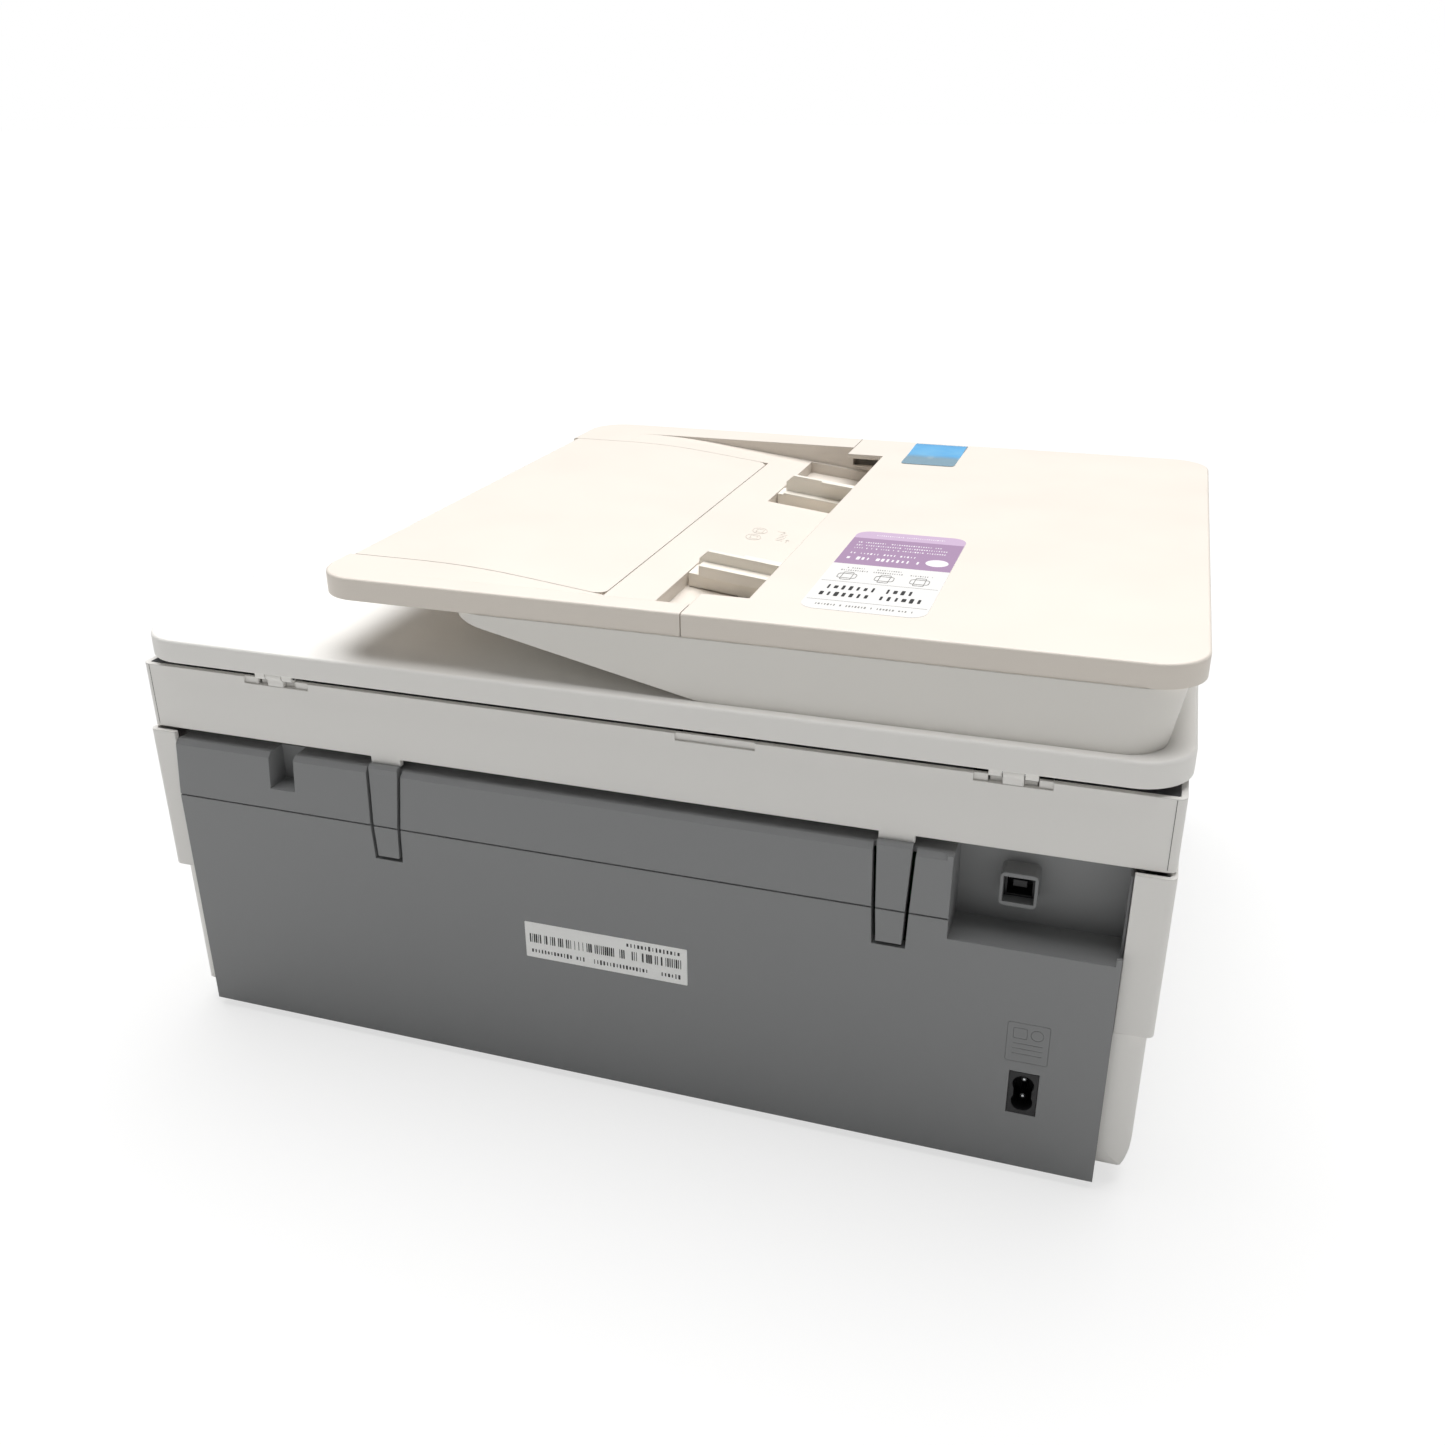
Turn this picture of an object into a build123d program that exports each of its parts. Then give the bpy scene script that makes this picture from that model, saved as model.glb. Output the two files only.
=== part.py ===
"""Inkjet all-in-one printer with a document feeder, flatbed scanner and front paper tray.

+X is the printer's right as its user sees it, -Y its front, +Y its back, +Z up.
The origin lies on the surface it stands on, under the middle of its box.  Millimetres.
"""
import os
from math import atan, cos, pi, radians, sin, tan

from build123d import *

os.makedirs("parts", exist_ok=True)

# ---- driving sizes ---------------------------------------------------------------
WIDTH = 463.0            # over the feeder slab and the lid
DEPTH = 383.0            # control panel to rear cover
FOOT_H = 4.0
BODY_TOP = 151.3         # underside of the scanner
BAND_H = 30.9            # scanner housing
LID_GAP = 3.3            # shadow line under the lid
LID_H = 11.0
FEEDER_H = 26.7          # feeder housing between lid and slab
SLAB_H = 9.8             # rim of the feeder's tray and cover
WALL = 2.5
GAP = 0.4                # between pieces that move past each other
RUN = 0.05               # radial clearance of a running fit
FIT = 0.2                # between fixed pieces laid side by side

# ---- levels and planes worked out from them ----------------------------------------
HALF = WIDTH / 2
BACK = DEPTH / 2
FRONT = -DEPTH / 2
BAND_TOP = BODY_TOP + BAND_H
LID_LOW = BAND_TOP + LID_GAP
LID_TOP = LID_LOW + LID_H
SLAB_LOW = LID_TOP + FEEDER_H
HEIGHT = SLAB_LOW + SLAB_H

# ---- lower body -------------------------------------------------------------------
SKIRT_H = 78.0           # top of the inset base
BASE_INSET = 3.0         # base side behind the overall width
BASE_R = 12.0            # upright corners at the back
KEEL_R = 16.0            # bottom edges at the back and the sides
BASE_FRONT_R = 5.0
SIDE_INSET = 1.0
SIDE_R = 3.5
SKIN_BACK = 3.5          # base and side panels in front of the rear cover's face
FACE_T = 3.0             # front bezel
BASE_X = HALF - BASE_INSET
SIDE_X = HALF - SIDE_INSET
SHELL_BACK = BACK - SKIN_BACK
SHELL_FRONT = FRONT + FACE_T
SHADOW = 4.7             # slot between rear cover and scanner
LEDGE = BODY_TOP - SHADOW
CREASE = LEDGE - 27.0
REAR_LEAN = 2.9          # how far the upper rear face leans in
REAR_LEFT = HALF - 15.3  # rear cover's edges
REAR_RIGHT = -HALF + 16.6
LEDGE_D = 14.0
LEDGE_EASE = 2.2         # chamfer of the ledge's outer edge

# ---- rear connections ----------------------------------------------------------------
POCKET_W = 70.0          # recess of the data socket
POCKET_H = 36.6
POCKET_D = 20.0
COLLAR = 15.0            # square collar round the data socket
COLLAR_D = 10.0
COLLAR_R = 2.2
USB_IN = 5.0             # socket behind its collar's rim
LIP = 1.2                # low rim along the recess's floor
USB_W, USB_H = 12.0, 11.0
USB_X = REAR_RIGHT + 42.4
USB_Z = LEDGE - 16.6
INLET_W, INLET_H, INLET_D = 11.8, 20.8, 26.0
INLET_X = REAR_RIGHT + 32.0
INLET_Z = FOOT_H + 38.3
PIN_R, PIN_PITCH = 1.2, 8.6
NOTCH_W = 13.0           # finger notch in the rear cover's edge
NOTCH_H, NOTCH_D = 17.0, 11.0
NOTCH_WALL = 2.0
NOTCH_X = HALF - 72.3
TAB_W, TAB_TAPER, TAB_LOW = 17.8, 1.95, BODY_TOP - 48.7
TAB_GROOVE = 1.6         # slot round each tongue
TAB_BACKING = 1.3
TAB_RISE = 1.7           # tongues stand this far above the ledge
TAB_X = (HALF - 125.3, -HALF + 107.6)
SEAM_H, SEAM_D = 0.7, 0.7
BOARD_T = 1.6

# ---- front -------------------------------------------------------------------------
BEZEL_X = HALF - 14.6
MOUTH_X = 127.0          # half width of the tray mouth
DOOR_X = 134.5
DOOR_LOW, DOOR_H = 86.5, 39.0
DOOR_T = 3.0
PANEL_LOW = DOOR_LOW + DOOR_H + 1.7
PANEL_D = 39.5           # front to back
PANEL_TOP_D = 8.0        # flat strip at its back
PANEL_FACE_H = 22.8      # upright part of its face
PANEL_HINGE_IN, PANEL_HINGE_DOWN = 2.5, 4.7

# ---- scanner ------------------------------------------------------------------------
BAND_X = HALF - 1.5
BAND_BACK = BACK - 6.5
BAND_FRONT = FRONT + PANEL_D + 3.0
BAND_R = 3.5
DECK_T = 3.0             # plate round the glass
GLASS_T = 3.0
GLASS_W, GLASS_D = 305.0, 222.0
STRIP_W = 14.0
GLASS_LAP = 5.0          # glass held under the deck's edges
FEED_Y = BACK - 167.0    # middle of the paper's way through feeder and scanner
GLASS_X = -HALF + 224.0
STRIP_X = -HALF + 53.0
RAIL_R = 3.0
BAR_W, BAR_D, BAR_H = 18.0, 236.0, 12.0
LID_NOTCHES = ((HALF - 73.0, 33.0), (-HALF + 183.5, 34.0), (-HALF + 64.5, 30.0))
LID_NOTCH_H = 3.2
LID_NOTCH_D = 1.0

# ---- lid -------------------------------------------------------------------------------
LID_X = HALF
LID_BACK = BACK - 3.5
LID_D = 320.0
LID_R = 22.0
LID_FRONT = LID_BACK - LID_D
PAD_T = 12.0
HINGE_Y = LID_BACK - 4.0
HINGE_Z = LID_LOW - 1.5
KNUCKLE_R = 2.2
HINGE_PIN_R = 1.0
LUG_W, EAR_W = 8.0, 5.0

# ---- feeder -----------------------------------------------------------------------------
SLAB_LEN = 367.4
SLAB_X = -HALF + SLAB_LEN      # open end of the slab
SLAB_Y0, SLAB_Y1 = FEED_Y - 171.9, FEED_Y + 158.0
SLAB_R = 20.0
SEAM_X = -HALF + 198.0         # between cover and tray
COVER_X = -HALF + 177.5        # cover's edge over the tray
ARM_FRONT, ARM_REAR = FEED_Y - 130.5, FEED_Y + 132.5
RIM_FRONT, RIM_REAR = FEED_Y - 147.5, FEED_Y + 146.5
HOUSE_X = -HALF + 5.5
HOUSE_Y0, HOUSE_Y1 = SLAB_Y0 + 4.5, SLAB_Y1 + 0.5
HOUSE_R = 18.0
HOUSE_DRAFT = 5.0              # housing's end leans in towards its foot
CHIN_X = -HALF + 190.8         # where the housing's underside starts to rise
CHIN_END = -HALF + 303.5
TRAY_FLAT_X = -HALF + 331.5    # the tray's top is level beyond this
TRAY_ANGLE = 6.7
TRAY_BEND = 50.0
TRAY_T = 8.0
TRAY_IN = -HALF + 150.0        # tray's lower end, under the cover
FLAP_X = -HALF + 244.5
FLAP_T = 3.0
FLAP_Y0, FLAP_Y1 = FEED_Y - 124.0, FEED_Y + 125.5
FLAP_PIN_R = 0.8
GUIDE_HALF = 72.0              # paper guides from the middle, as set
GUIDE_T, GUIDE_H = 3.0, 10.5
GUIDE_X = -HALF + 218.5
GUIDE_IN = -HALF + 156.0
GUIDE_OUT, GUIDE_CLOSE = 36.0, 12.0
SLOT_D = 6.0                   # channel that a guide runs in
RACK_W, RACK_H, RACK_L = 4.0, 4.0, 118.0
PINION_TEETH = 12
ROLLER_R, ROLLER_SHAFT_R = 9.0, 3.0
ROLLER_TEETH = 24
ROLLER_X = -HALF + 127.0
COVER_ROD_R = 0.9

# ---- printing works ------------------------------------------------------------------------
CHEEK_X = 200.0
SHEET = 1.5              # sheet steel
WORKS_Y = FRONT + 196.5  # idler gear, in the middle of the feed train
WORKS_BACK = WORKS_Y + 53.0
GEAR_TEETH, GEAR_M, GEAR_W = 40, 1.0, 6.0
MOTOR_TEETH = 12
SHAFT_Z = 94.0
FEED_R, EJECT_R, SHAFT_R = 7.0, 5.0, 3.0
RAIL_LOW = 78.0
PLATEN_TOP = 90.0
PLATEN_END = 112.0
ROD_R = 5.0
ROD_Y, ROD_Z = WORKS_Y + 15.0, 128.0
CARRIAGE_W = 70.0
CARRIAGE_X = 155.0       # parked
CARRIAGE_Y0 = WORKS_Y - 34.0
CARRIAGE_Z0, CARRIAGE_Z1 = 96.0, 137.0
PULLEY_R, PULLEY_X = 6.0, 186.0
BELT_T, BELT_W = 1.2, 6.0
MOTOR_R, MOTOR_L = 14.0, 26.0
FEED_MOTOR_R = 11.5

# ---- paper ---------------------------------------------------------------------------------
TRAY_X = 125.0
TRAY_LOW, TRAY_TOP = 8.0, 50.0
TRAY_LEN = 300.0
STACK_HALF = 105.5       # width guide's inner face
STACK_LEN = 270.0
OUT_Z = 54.0             # output tray's underside
OUT_T = 3.0
OUT_LEN = 160.0


def save(piece, node):
    """Label a finished piece and write it."""
    piece.label = node
    export_step(piece, f"parts/{node}.step")


def block(x0, x1, y0, y1, z0, z1, mode=Mode.ADD):
    """A box between six planes, added to the part being built."""
    with Locations(((x0 + x1) / 2, (y0 + y1) / 2, (z0 + z1) / 2)):
        Box(x1 - x0, y1 - y0, z1 - z0, mode=mode)


def rounded(x0, x1, y0, y1, z0, z1, radius, mode=Mode.ADD):
    """An upright block with its four upright edges rounded."""
    with BuildSketch(Plane.XY.offset(z0)) as outline:
        with Locations(((x0 + x1) / 2, (y0 + y1) / 2)):
            RectangleRounded(x1 - x0, y1 - y0, radius)
    extrude(outline.sketch, amount=z1 - z0, mode=mode)


def along_x(points, x0, x1, mode=Mode.ADD):
    """A (y, z) outline carried from x0 to x1."""
    with BuildSketch(Plane.YZ.offset(x0)) as outline:
        with BuildLine():
            Polyline(*points, close=True)
        make_face()
    extrude(outline.sketch, amount=x1 - x0, mode=mode)


def along_y(points, y0, y1, mode=Mode.ADD):
    """An (x, z) outline carried from y0 to y1."""
    with BuildSketch(Plane.XZ.offset(-y1)) as outline:
        with BuildLine():
            Polyline(*points, close=True)
        make_face()
    extrude(outline.sketch, amount=y1 - y0, mode=mode)


def rod_x(x0, x1, y, z, radius, mode=Mode.ADD):
    """A round bar or bore along X."""
    with Locations(Location(((x0 + x1) / 2, y, z), (0, 90, 0))):
        Cylinder(radius, x1 - x0, mode=mode)


def rod_y(x, y0, y1, z, radius, mode=Mode.ADD):
    """A round bar or bore along Y."""
    with Locations(Location((x, (y0 + y1) / 2, z), (90, 0, 0))):
        Cylinder(radius, y1 - y0, mode=mode)


def rod_z(x, y, z0, z1, radius, mode=Mode.ADD):
    """A round bar or bore along Z."""
    with Locations((x, y, (z0 + z1) / 2)):
        Cylinder(radius, z1 - z0, mode=mode)


def toothed(plane, teeth, module, width, phase=0.0):
    """A spur wheel's rim on a plane, with play between its teeth; phase is in tooth pitches."""
    pitch_r = teeth * module / 2
    root_r, tip_r = pitch_r - 1.2 * module, pitch_r + 0.85 * module
    root_half, tip_half = 0.9 * module, 0.28 * module
    with BuildSketch(plane) as outline:
        Circle(root_r)
        with PolarLocations(0, teeth, start_angle=360 / teeth * phase):
            with BuildLine():
                Polyline((root_r - module, -root_half), (root_r, -root_half), (tip_r, -tip_half),
                         (tip_r, tip_half), (root_r, root_half), (root_r - module, root_half), close=True)
            make_face()
    extrude(outline.sketch, amount=width)


# =============================================================== lower body
def keel(reach, radius, steps=6):
    """Points of a quarter circle, from under an edge at reach to its side."""
    return [(reach - KEEL_R + radius * sin(pi / 2 * k / steps), FOOT_H + KEEL_R - radius * cos(pi / 2 * k / steps))
            for k in range(steps + 1)]


with BuildPart() as keel_walls:
    ring = keel(BASE_X, KEEL_R + 0.5) + keel(BASE_X, KEEL_R - WALL)[::-1]
    along_y(ring, SHELL_FRONT, SHELL_BACK)
    along_y([(-x, z) for x, z in ring], SHELL_FRONT, SHELL_BACK)
    along_x(keel(SHELL_BACK, KEEL_R + 0.5) + keel(SHELL_BACK, KEEL_R - WALL)[::-1], -BASE_X, BASE_X)
    rounded(-BASE_X, BASE_X, SHELL_FRONT - BASE_R, SHELL_BACK, FOOT_H, SKIRT_H, BASE_R, mode=Mode.INTERSECT)
keel_cuts = []
for points, carried in ((keel(BASE_X, KEEL_R), along_y), ([(-x, z) for x, z in keel(BASE_X, KEEL_R)], along_y),
                        (keel(SHELL_BACK, KEEL_R), along_x)):
    (inner, _), (outer, top) = points[0], points[-1]
    beyond = outer + (1 if outer > 0 else -1)
    with BuildPart() as keel_cut:
        carried(points + [(beyond, top), (beyond, FOOT_H - 1), (inner, FOOT_H - 1)], -HALF, HALF)
    keel_cuts.append(keel_cut.part)

with BuildPart() as base_tray:
    rounded(-BASE_X, BASE_X, SHELL_FRONT, SHELL_BACK, FOOT_H, SKIRT_H, BASE_R)
    rounded(-BASE_X, BASE_X, SHELL_FRONT, SHELL_FRONT + 4 * BASE_R, FOOT_H, SKIRT_H, BASE_FRONT_R)
    rounded(-BASE_X + WALL, BASE_X - WALL, SHELL_FRONT + WALL, SHELL_BACK - WALL,
            FOOT_H + WALL, SKIRT_H, BASE_R - WALL, mode=Mode.SUBTRACT)
    # curved bottom edges at the sides and the back
    add(keel_walls.part)
    for cut in keel_cuts:
        add(cut, mode=Mode.SUBTRACT)
    # mouth for the paper tray, and the hole that the mains inlet passes through
    block(-MOUTH_X, MOUTH_X, SHELL_FRONT - 1, SHELL_FRONT + WALL, TRAY_LOW - 0.5, SKIRT_H, mode=Mode.SUBTRACT)
    block(INLET_X - INLET_W / 2 - FIT, INLET_X + INLET_W / 2 + FIT, SHELL_BACK - WALL - 1, SHELL_BACK + 1,
          INLET_Z - INLET_H / 2 - FIT, INLET_Z + INLET_H / 2 + FIT, mode=Mode.SUBTRACT)
    # runners that carry the paper tray at its sides
    for side in (-1, 1):
        inner, outer = side * (TRAY_X + GAP + 0.6), side * (TRAY_X + 4.0)
        block(min(inner, outer), max(inner, outer), SHELL_FRONT + WALL, FRONT + TRAY_LEN + 8,
              FOOT_H + WALL, TRAY_TOP + 2)
save(base_tray.part, "base_tray")

POCKET_LEFT = REAR_RIGHT + POCKET_W
POCKET_LOW = LEDGE - POCKET_H
POCKET_BACK = BACK - REAR_LEAN - POCKET_D
BOARD_Y = POCKET_BACK - WALL - 14.0

with BuildPart() as rear_cover:
    lean_back = BACK - REAR_LEAN
    along_x([(SHELL_BACK, FOOT_H), (BACK, FOOT_H), (BACK, CREASE), (lean_back, LEDGE - LEDGE_EASE),
             (lean_back - LEDGE_EASE, LEDGE), (lean_back - LEDGE_D, LEDGE), (lean_back - LEDGE_D, LEDGE - WALL),
             (SHELL_BACK - WALL, LEDGE - WALL), (SHELL_BACK - WALL, SKIRT_H + WALL + FIT),
             (SHELL_BACK, SKIRT_H + WALL + FIT)], REAR_RIGHT, REAR_LEFT)
    # recess round the data socket, open at its top
    block(REAR_RIGHT, POCKET_LEFT, POCKET_BACK - WALL, BACK - REAR_LEAN, POCKET_LOW - WALL, LEDGE)
    block(REAR_RIGHT + 1, POCKET_LEFT - WALL, POCKET_BACK, BACK + 1, POCKET_LOW, LEDGE + 1,
          mode=Mode.SUBTRACT)
    block(REAR_RIGHT - 1, REAR_RIGHT + 2, SHELL_BACK - 5, BACK + 1, POCKET_LOW, LEDGE + 1, mode=Mode.SUBTRACT)
    # rim along the recess's floor, rising at its outer end
    block(REAR_RIGHT, POCKET_LEFT - WALL, BACK - LIP, BACK, POCKET_LOW - 1, POCKET_LOW + 0.6)
    block(REAR_RIGHT, REAR_RIGHT + 2.2, BACK - LIP, BACK, POCKET_LOW - 1, POCKET_LOW + 4)
    # collar round the data socket
    with BuildSketch(Plane.XZ.offset(-POCKET_BACK)):
        with Locations((USB_X, USB_Z)):
            RectangleRounded(COLLAR, COLLAR, COLLAR_R)
    extrude(amount=-COLLAR_D)
    block(USB_X - USB_W / 2 - FIT, USB_X + USB_W / 2 + FIT, POCKET_BACK - WALL - 1, POCKET_BACK + COLLAR_D + 1,
          USB_Z - USB_H / 2 - FIT, USB_Z + USB_H / 2 + FIT, mode=Mode.SUBTRACT)
    # pocket of the finger notch
    block(NOTCH_X - NOTCH_W / 2 - NOTCH_WALL, NOTCH_X + NOTCH_W / 2 + NOTCH_WALL,
          lean_back - NOTCH_D - NOTCH_WALL, SHELL_BACK - WALL, LEDGE - NOTCH_H - NOTCH_WALL, LEDGE)
    block(NOTCH_X - NOTCH_W / 2, NOTCH_X + NOTCH_W / 2, lean_back - NOTCH_D, BACK + 1,
          LEDGE - NOTCH_H, LEDGE + 1, mode=Mode.SUBTRACT)
    # mains inlet, the seam along the crease, and the slots round the two tongues
    block(INLET_X - INLET_W / 2 - FIT, INLET_X + INLET_W / 2 + FIT, SHELL_BACK - 1, BACK + 1,
          INLET_Z - INLET_H / 2 - FIT, INLET_Z + INLET_H / 2 + FIT, mode=Mode.SUBTRACT)
    block(REAR_RIGHT - 1, REAR_LEFT + 1, BACK - SEAM_D, BACK + 1, CREASE - SEAM_H / 2, CREASE + SEAM_H / 2,
          mode=Mode.SUBTRACT)
    tab_front = BAND_BACK + FIT
    for tab_x in TAB_X:
        top_half, low_half = TAB_W / 2, TAB_W / 2 - TAB_TAPER
        along_x([(tab_front, LEDGE - LEDGE_EASE), (lean_back, LEDGE - LEDGE_EASE),
                 (lean_back, LEDGE + TAB_RISE - 1.2), (lean_back - 1.2, LEDGE + TAB_RISE),
                 (tab_front, LEDGE + TAB_RISE)], tab_x - top_half + 0.2, tab_x + top_half - 0.2)
        along_y([(tab_x - top_half, LEDGE + 3), (tab_x - low_half, TAB_LOW), (tab_x + low_half, TAB_LOW),
                 (tab_x + top_half, LEDGE + 3), (tab_x + top_half - TAB_GROOVE, LEDGE + 3),
                 (tab_x + low_half - TAB_GROOVE, TAB_LOW + TAB_GROOVE),
                 (tab_x - low_half + TAB_GROOVE, TAB_LOW + TAB_GROOVE),
                 (tab_x - top_half + TAB_GROOVE, LEDGE + 3)],
                tab_front - 0.6, BACK + 1, mode=Mode.SUBTRACT)
    # posts for the main board
    for post_x in (REAR_RIGHT + 10, POCKET_LEFT - 5):
        rod_y(post_x, BOARD_Y + BOARD_T, POCKET_BACK - 1, LEDGE - 8, 3)
        rod_y(post_x, BOARD_Y + BOARD_T, SHELL_BACK, SKIRT_H + 8, 3)
save(rear_cover.part, "rear_cover")


def side_panel(side):
    """One white side of the body, with a flange on the base and returns at front and back."""
    with BuildPart() as panel:
        rounded(-SIDE_X, SIDE_X, SHELL_FRONT, SHELL_BACK, SKIRT_H, BODY_TOP - 1.3, SIDE_R)
        rounded(-SIDE_X + WALL, SIDE_X - WALL, SHELL_FRONT + WALL, SHELL_BACK - WALL,
                SKIRT_H + WALL, BODY_TOP, SIDE_R - WALL, mode=Mode.SUBTRACT)
        rounded(-BASE_X + 2 * WALL, BASE_X - 2 * WALL, SHELL_FRONT + 2 * WALL, SHELL_BACK - 2 * WALL,
                SKIRT_H - 1, SKIRT_H + WALL + 1, BASE_R - WALL, mode=Mode.SUBTRACT)
        # the other side and the middle are left out
        x0, x1 = (-HALF, REAR_LEFT + FIT) if side > 0 else (REAR_RIGHT - FIT, HALF)
        block(x0, x1, FRONT, BACK, 0, HEIGHT, mode=Mode.SUBTRACT)
        # room for the control panel
        block(-SIDE_X - 1, SIDE_X + 1, FRONT, BAND_FRONT - 0.5, PANEL_LOW - 0.6, BODY_TOP, mode=Mode.SUBTRACT)
    return panel.part


save(side_panel(1), "side_panel_left")
save(side_panel(-1), "side_panel_right")

with BuildPart() as front_frame:
    with BuildSketch(Plane.XZ.offset(-SHELL_FRONT)):
        with Locations((0, (FOOT_H + 3 + PANEL_LOW - 0.6) / 2)):
            RectangleRounded(2 * BEZEL_X, PANEL_LOW - 0.6 - FOOT_H - 3, 5)
    extrude(amount=FACE_T)
    block(-MOUTH_X, MOUTH_X, FRONT - 1, SHELL_FRONT + 1, TRAY_LOW - 0.5, DOOR_LOW - 8, mode=Mode.SUBTRACT)
    block(-DOOR_X - GAP, DOOR_X + GAP, FRONT - 1, SHELL_FRONT + 1, DOOR_LOW - 3.2, PANEL_LOW,
          mode=Mode.SUBTRACT)
    # bar that the door's foot turns in front of, and the frame behind the bezel
    block(-DOOR_X - 12, DOOR_X + 12, SHELL_FRONT, SHELL_FRONT + WALL, SKIRT_H + FIT, DOOR_LOW - 3.2)
    for side in (-1, 1):
        x0, x1 = sorted((side * (DOOR_X + 1.2), side * (BEZEL_X - 6)))
        block(x0, x1, SHELL_FRONT, SHELL_FRONT + WALL, SKIRT_H + FIT, PANEL_LOW - 0.6)
        # bearing for the ink door's pins
        rod_x(min(side * (DOOR_X - 3), side * (DOOR_X + 4)), max(side * (DOOR_X - 3), side * (DOOR_X + 4)),
              FRONT + 2.0, DOOR_LOW + 1.5, 1.2 + RUN, mode=Mode.SUBTRACT)
save(front_frame.part, "front_frame")

with BuildPart() as foot:
    Cylinder(9, FOOT_H, align=(Align.CENTER, Align.CENTER, Align.MIN))
    fillet(foot.edges().sort_by(Axis.Z)[0], 0.8)
for index, (side_x, side_y) in enumerate(((-1, -1), (1, -1), (1, 1), (-1, 1)), start=1):
    save(Pos(side_x * (HALF - 40), side_y * (BACK - 34), 0) * foot.part, f"foot_{index}")

# =============================================================== electrics
with BuildPart() as main_board:
    block(REAR_RIGHT + 1, POCKET_LEFT + 45, BOARD_Y, BOARD_Y + BOARD_T, SKIRT_H, LEDGE - 1)
    block(POCKET_LEFT - 30, POCKET_LEFT - 8, BOARD_Y - 3, BOARD_Y, SKIRT_H + 20, SKIRT_H + 42)
    block(POCKET_LEFT + 5, POCKET_LEFT + 35, BOARD_Y - 8, BOARD_Y, SKIRT_H + 6, SKIRT_H + 14)
save(main_board.part, "main_board")

with BuildPart() as usb_port:
    usb_y1 = POCKET_BACK + COLLAR_D - USB_IN
    block(USB_X - USB_W / 2, USB_X + USB_W / 2, BOARD_Y + BOARD_T, usb_y1, USB_Z - USB_H / 2, USB_Z + USB_H / 2)
    block(USB_X - USB_W / 2 + 1, USB_X + USB_W / 2 - 1, usb_y1 - 9, usb_y1 + 1,
          USB_Z - USB_H / 2 + 1, USB_Z + USB_H / 2 - 1, mode=Mode.SUBTRACT)
    block(USB_X - 2.8, USB_X + 2.8, usb_y1 - 9.5, usb_y1 - 1, USB_Z - 1.5, USB_Z + 1.5)
save(usb_port.part, "usb_port")

with BuildPart() as mains_inlet:
    with BuildSketch(Plane.XZ.offset(-BACK)):
        with Locations((INLET_X, INLET_Z)):
            RectangleRounded(INLET_W, INLET_H, 0.6)
    extrude(amount=INLET_D)
    with BuildSketch(Plane.XZ.offset(-BACK)):
        with Locations((INLET_X, INLET_Z - PIN_PITCH / 2), (INLET_X, INLET_Z + PIN_PITCH / 2)):
            Circle(4.4)
        with Locations((INLET_X, INLET_Z)):
            Rectangle(7.4, PIN_PITCH)
    extrude(amount=14, mode=Mode.SUBTRACT)
    for side in (-1, 1):
        rod_y(INLET_X, BACK - 15, BACK - 4, INLET_Z + side * PIN_PITCH / 2, PIN_R)
save(mains_inlet.part, "mains_inlet")

with BuildPart() as power_supply:
    block(REAR_RIGHT + 4, REAR_RIGHT + 82, BACK - INLET_D - 76, BACK - INLET_D, FOOT_H + WALL, FOOT_H + 60)
    fillet(power_supply.edges().filter_by(Axis.Z), 2)
save(power_supply.part, "power_supply")

# =============================================================== scanner
with BuildPart() as scanner_tub:
    rounded(-BAND_X, BAND_X, BAND_FRONT, BAND_BACK, BODY_TOP, BAND_TOP, BAND_R)
    rounded(-BAND_X + WALL, BAND_X - WALL, BAND_FRONT + WALL, BAND_BACK - WALL,
            BODY_TOP + WALL, BAND_TOP, BAND_R - WALL, mode=Mode.SUBTRACT)
    for notch_x, notch_w in LID_NOTCHES:
        block(notch_x - notch_w / 2, notch_x + notch_w / 2, BAND_BACK - LID_NOTCH_D, BAND_BACK + 1,
              BAND_TOP - LID_NOTCH_H, BAND_TOP + 1, mode=Mode.SUBTRACT)
    for notch_x, _ in (LID_NOTCHES[0], LID_NOTCHES[2]):
        hinge_half = LUG_W / 2 + EAR_W + 0.6
        block(notch_x - hinge_half, notch_x + hinge_half, BAND_BACK - WALL - 1, BAND_BACK + 1,
              BAND_TOP - LID_NOTCH_H, BAND_TOP + 1, mode=Mode.SUBTRACT)
    # lips that reach down to the rear cover's tongues
    for tab_x in TAB_X:
        block(tab_x - TAB_W / 2 + TAB_GROOVE, tab_x + TAB_W / 2 - TAB_GROOVE, BAND_BACK - WALL, BAND_BACK,
              LEDGE + TAB_RISE - 0.3, BODY_TOP + 1)
    # seats for the rail, and a rest for the deck
    for side in (-1, 1):
        x0, x1 = sorted((side * (BAND_X - WALL), side * (BAND_X - 12)))
        block(x0, x1, FEED_Y - 6, FEED_Y + 6, BODY_TOP + WALL, BODY_TOP + WALL + 9)
        x0, x1 = sorted((side * (BAND_X - WALL), side * (BAND_X - 13)))
        rod_x(x0, x1, FEED_Y, BODY_TOP + WALL + 4.5, RAIL_R, mode=Mode.SUBTRACT)
    # ears that the control panel turns on
    for side in (-1, 1):
        ear_x = side * (HALF - 60)
        block(ear_x - 3, ear_x + 3, FRONT + PANEL_D - PANEL_HINGE_IN, BAND_FRONT + 1,
              BAND_TOP - PANEL_HINGE_DOWN - 1.8, BAND_TOP - PANEL_HINGE_DOWN + 0.2)
        rod_x(ear_x - 3, ear_x + 3, FRONT + PANEL_D - PANEL_HINGE_IN, BAND_TOP - PANEL_HINGE_DOWN, 1.8)
        rod_x(ear_x - 4, ear_x + 4, FRONT + PANEL_D - PANEL_HINGE_IN, BAND_TOP - PANEL_HINGE_DOWN, 1 + RUN,
              mode=Mode.SUBTRACT)
save(scanner_tub.part, "scanner_tub")

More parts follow.
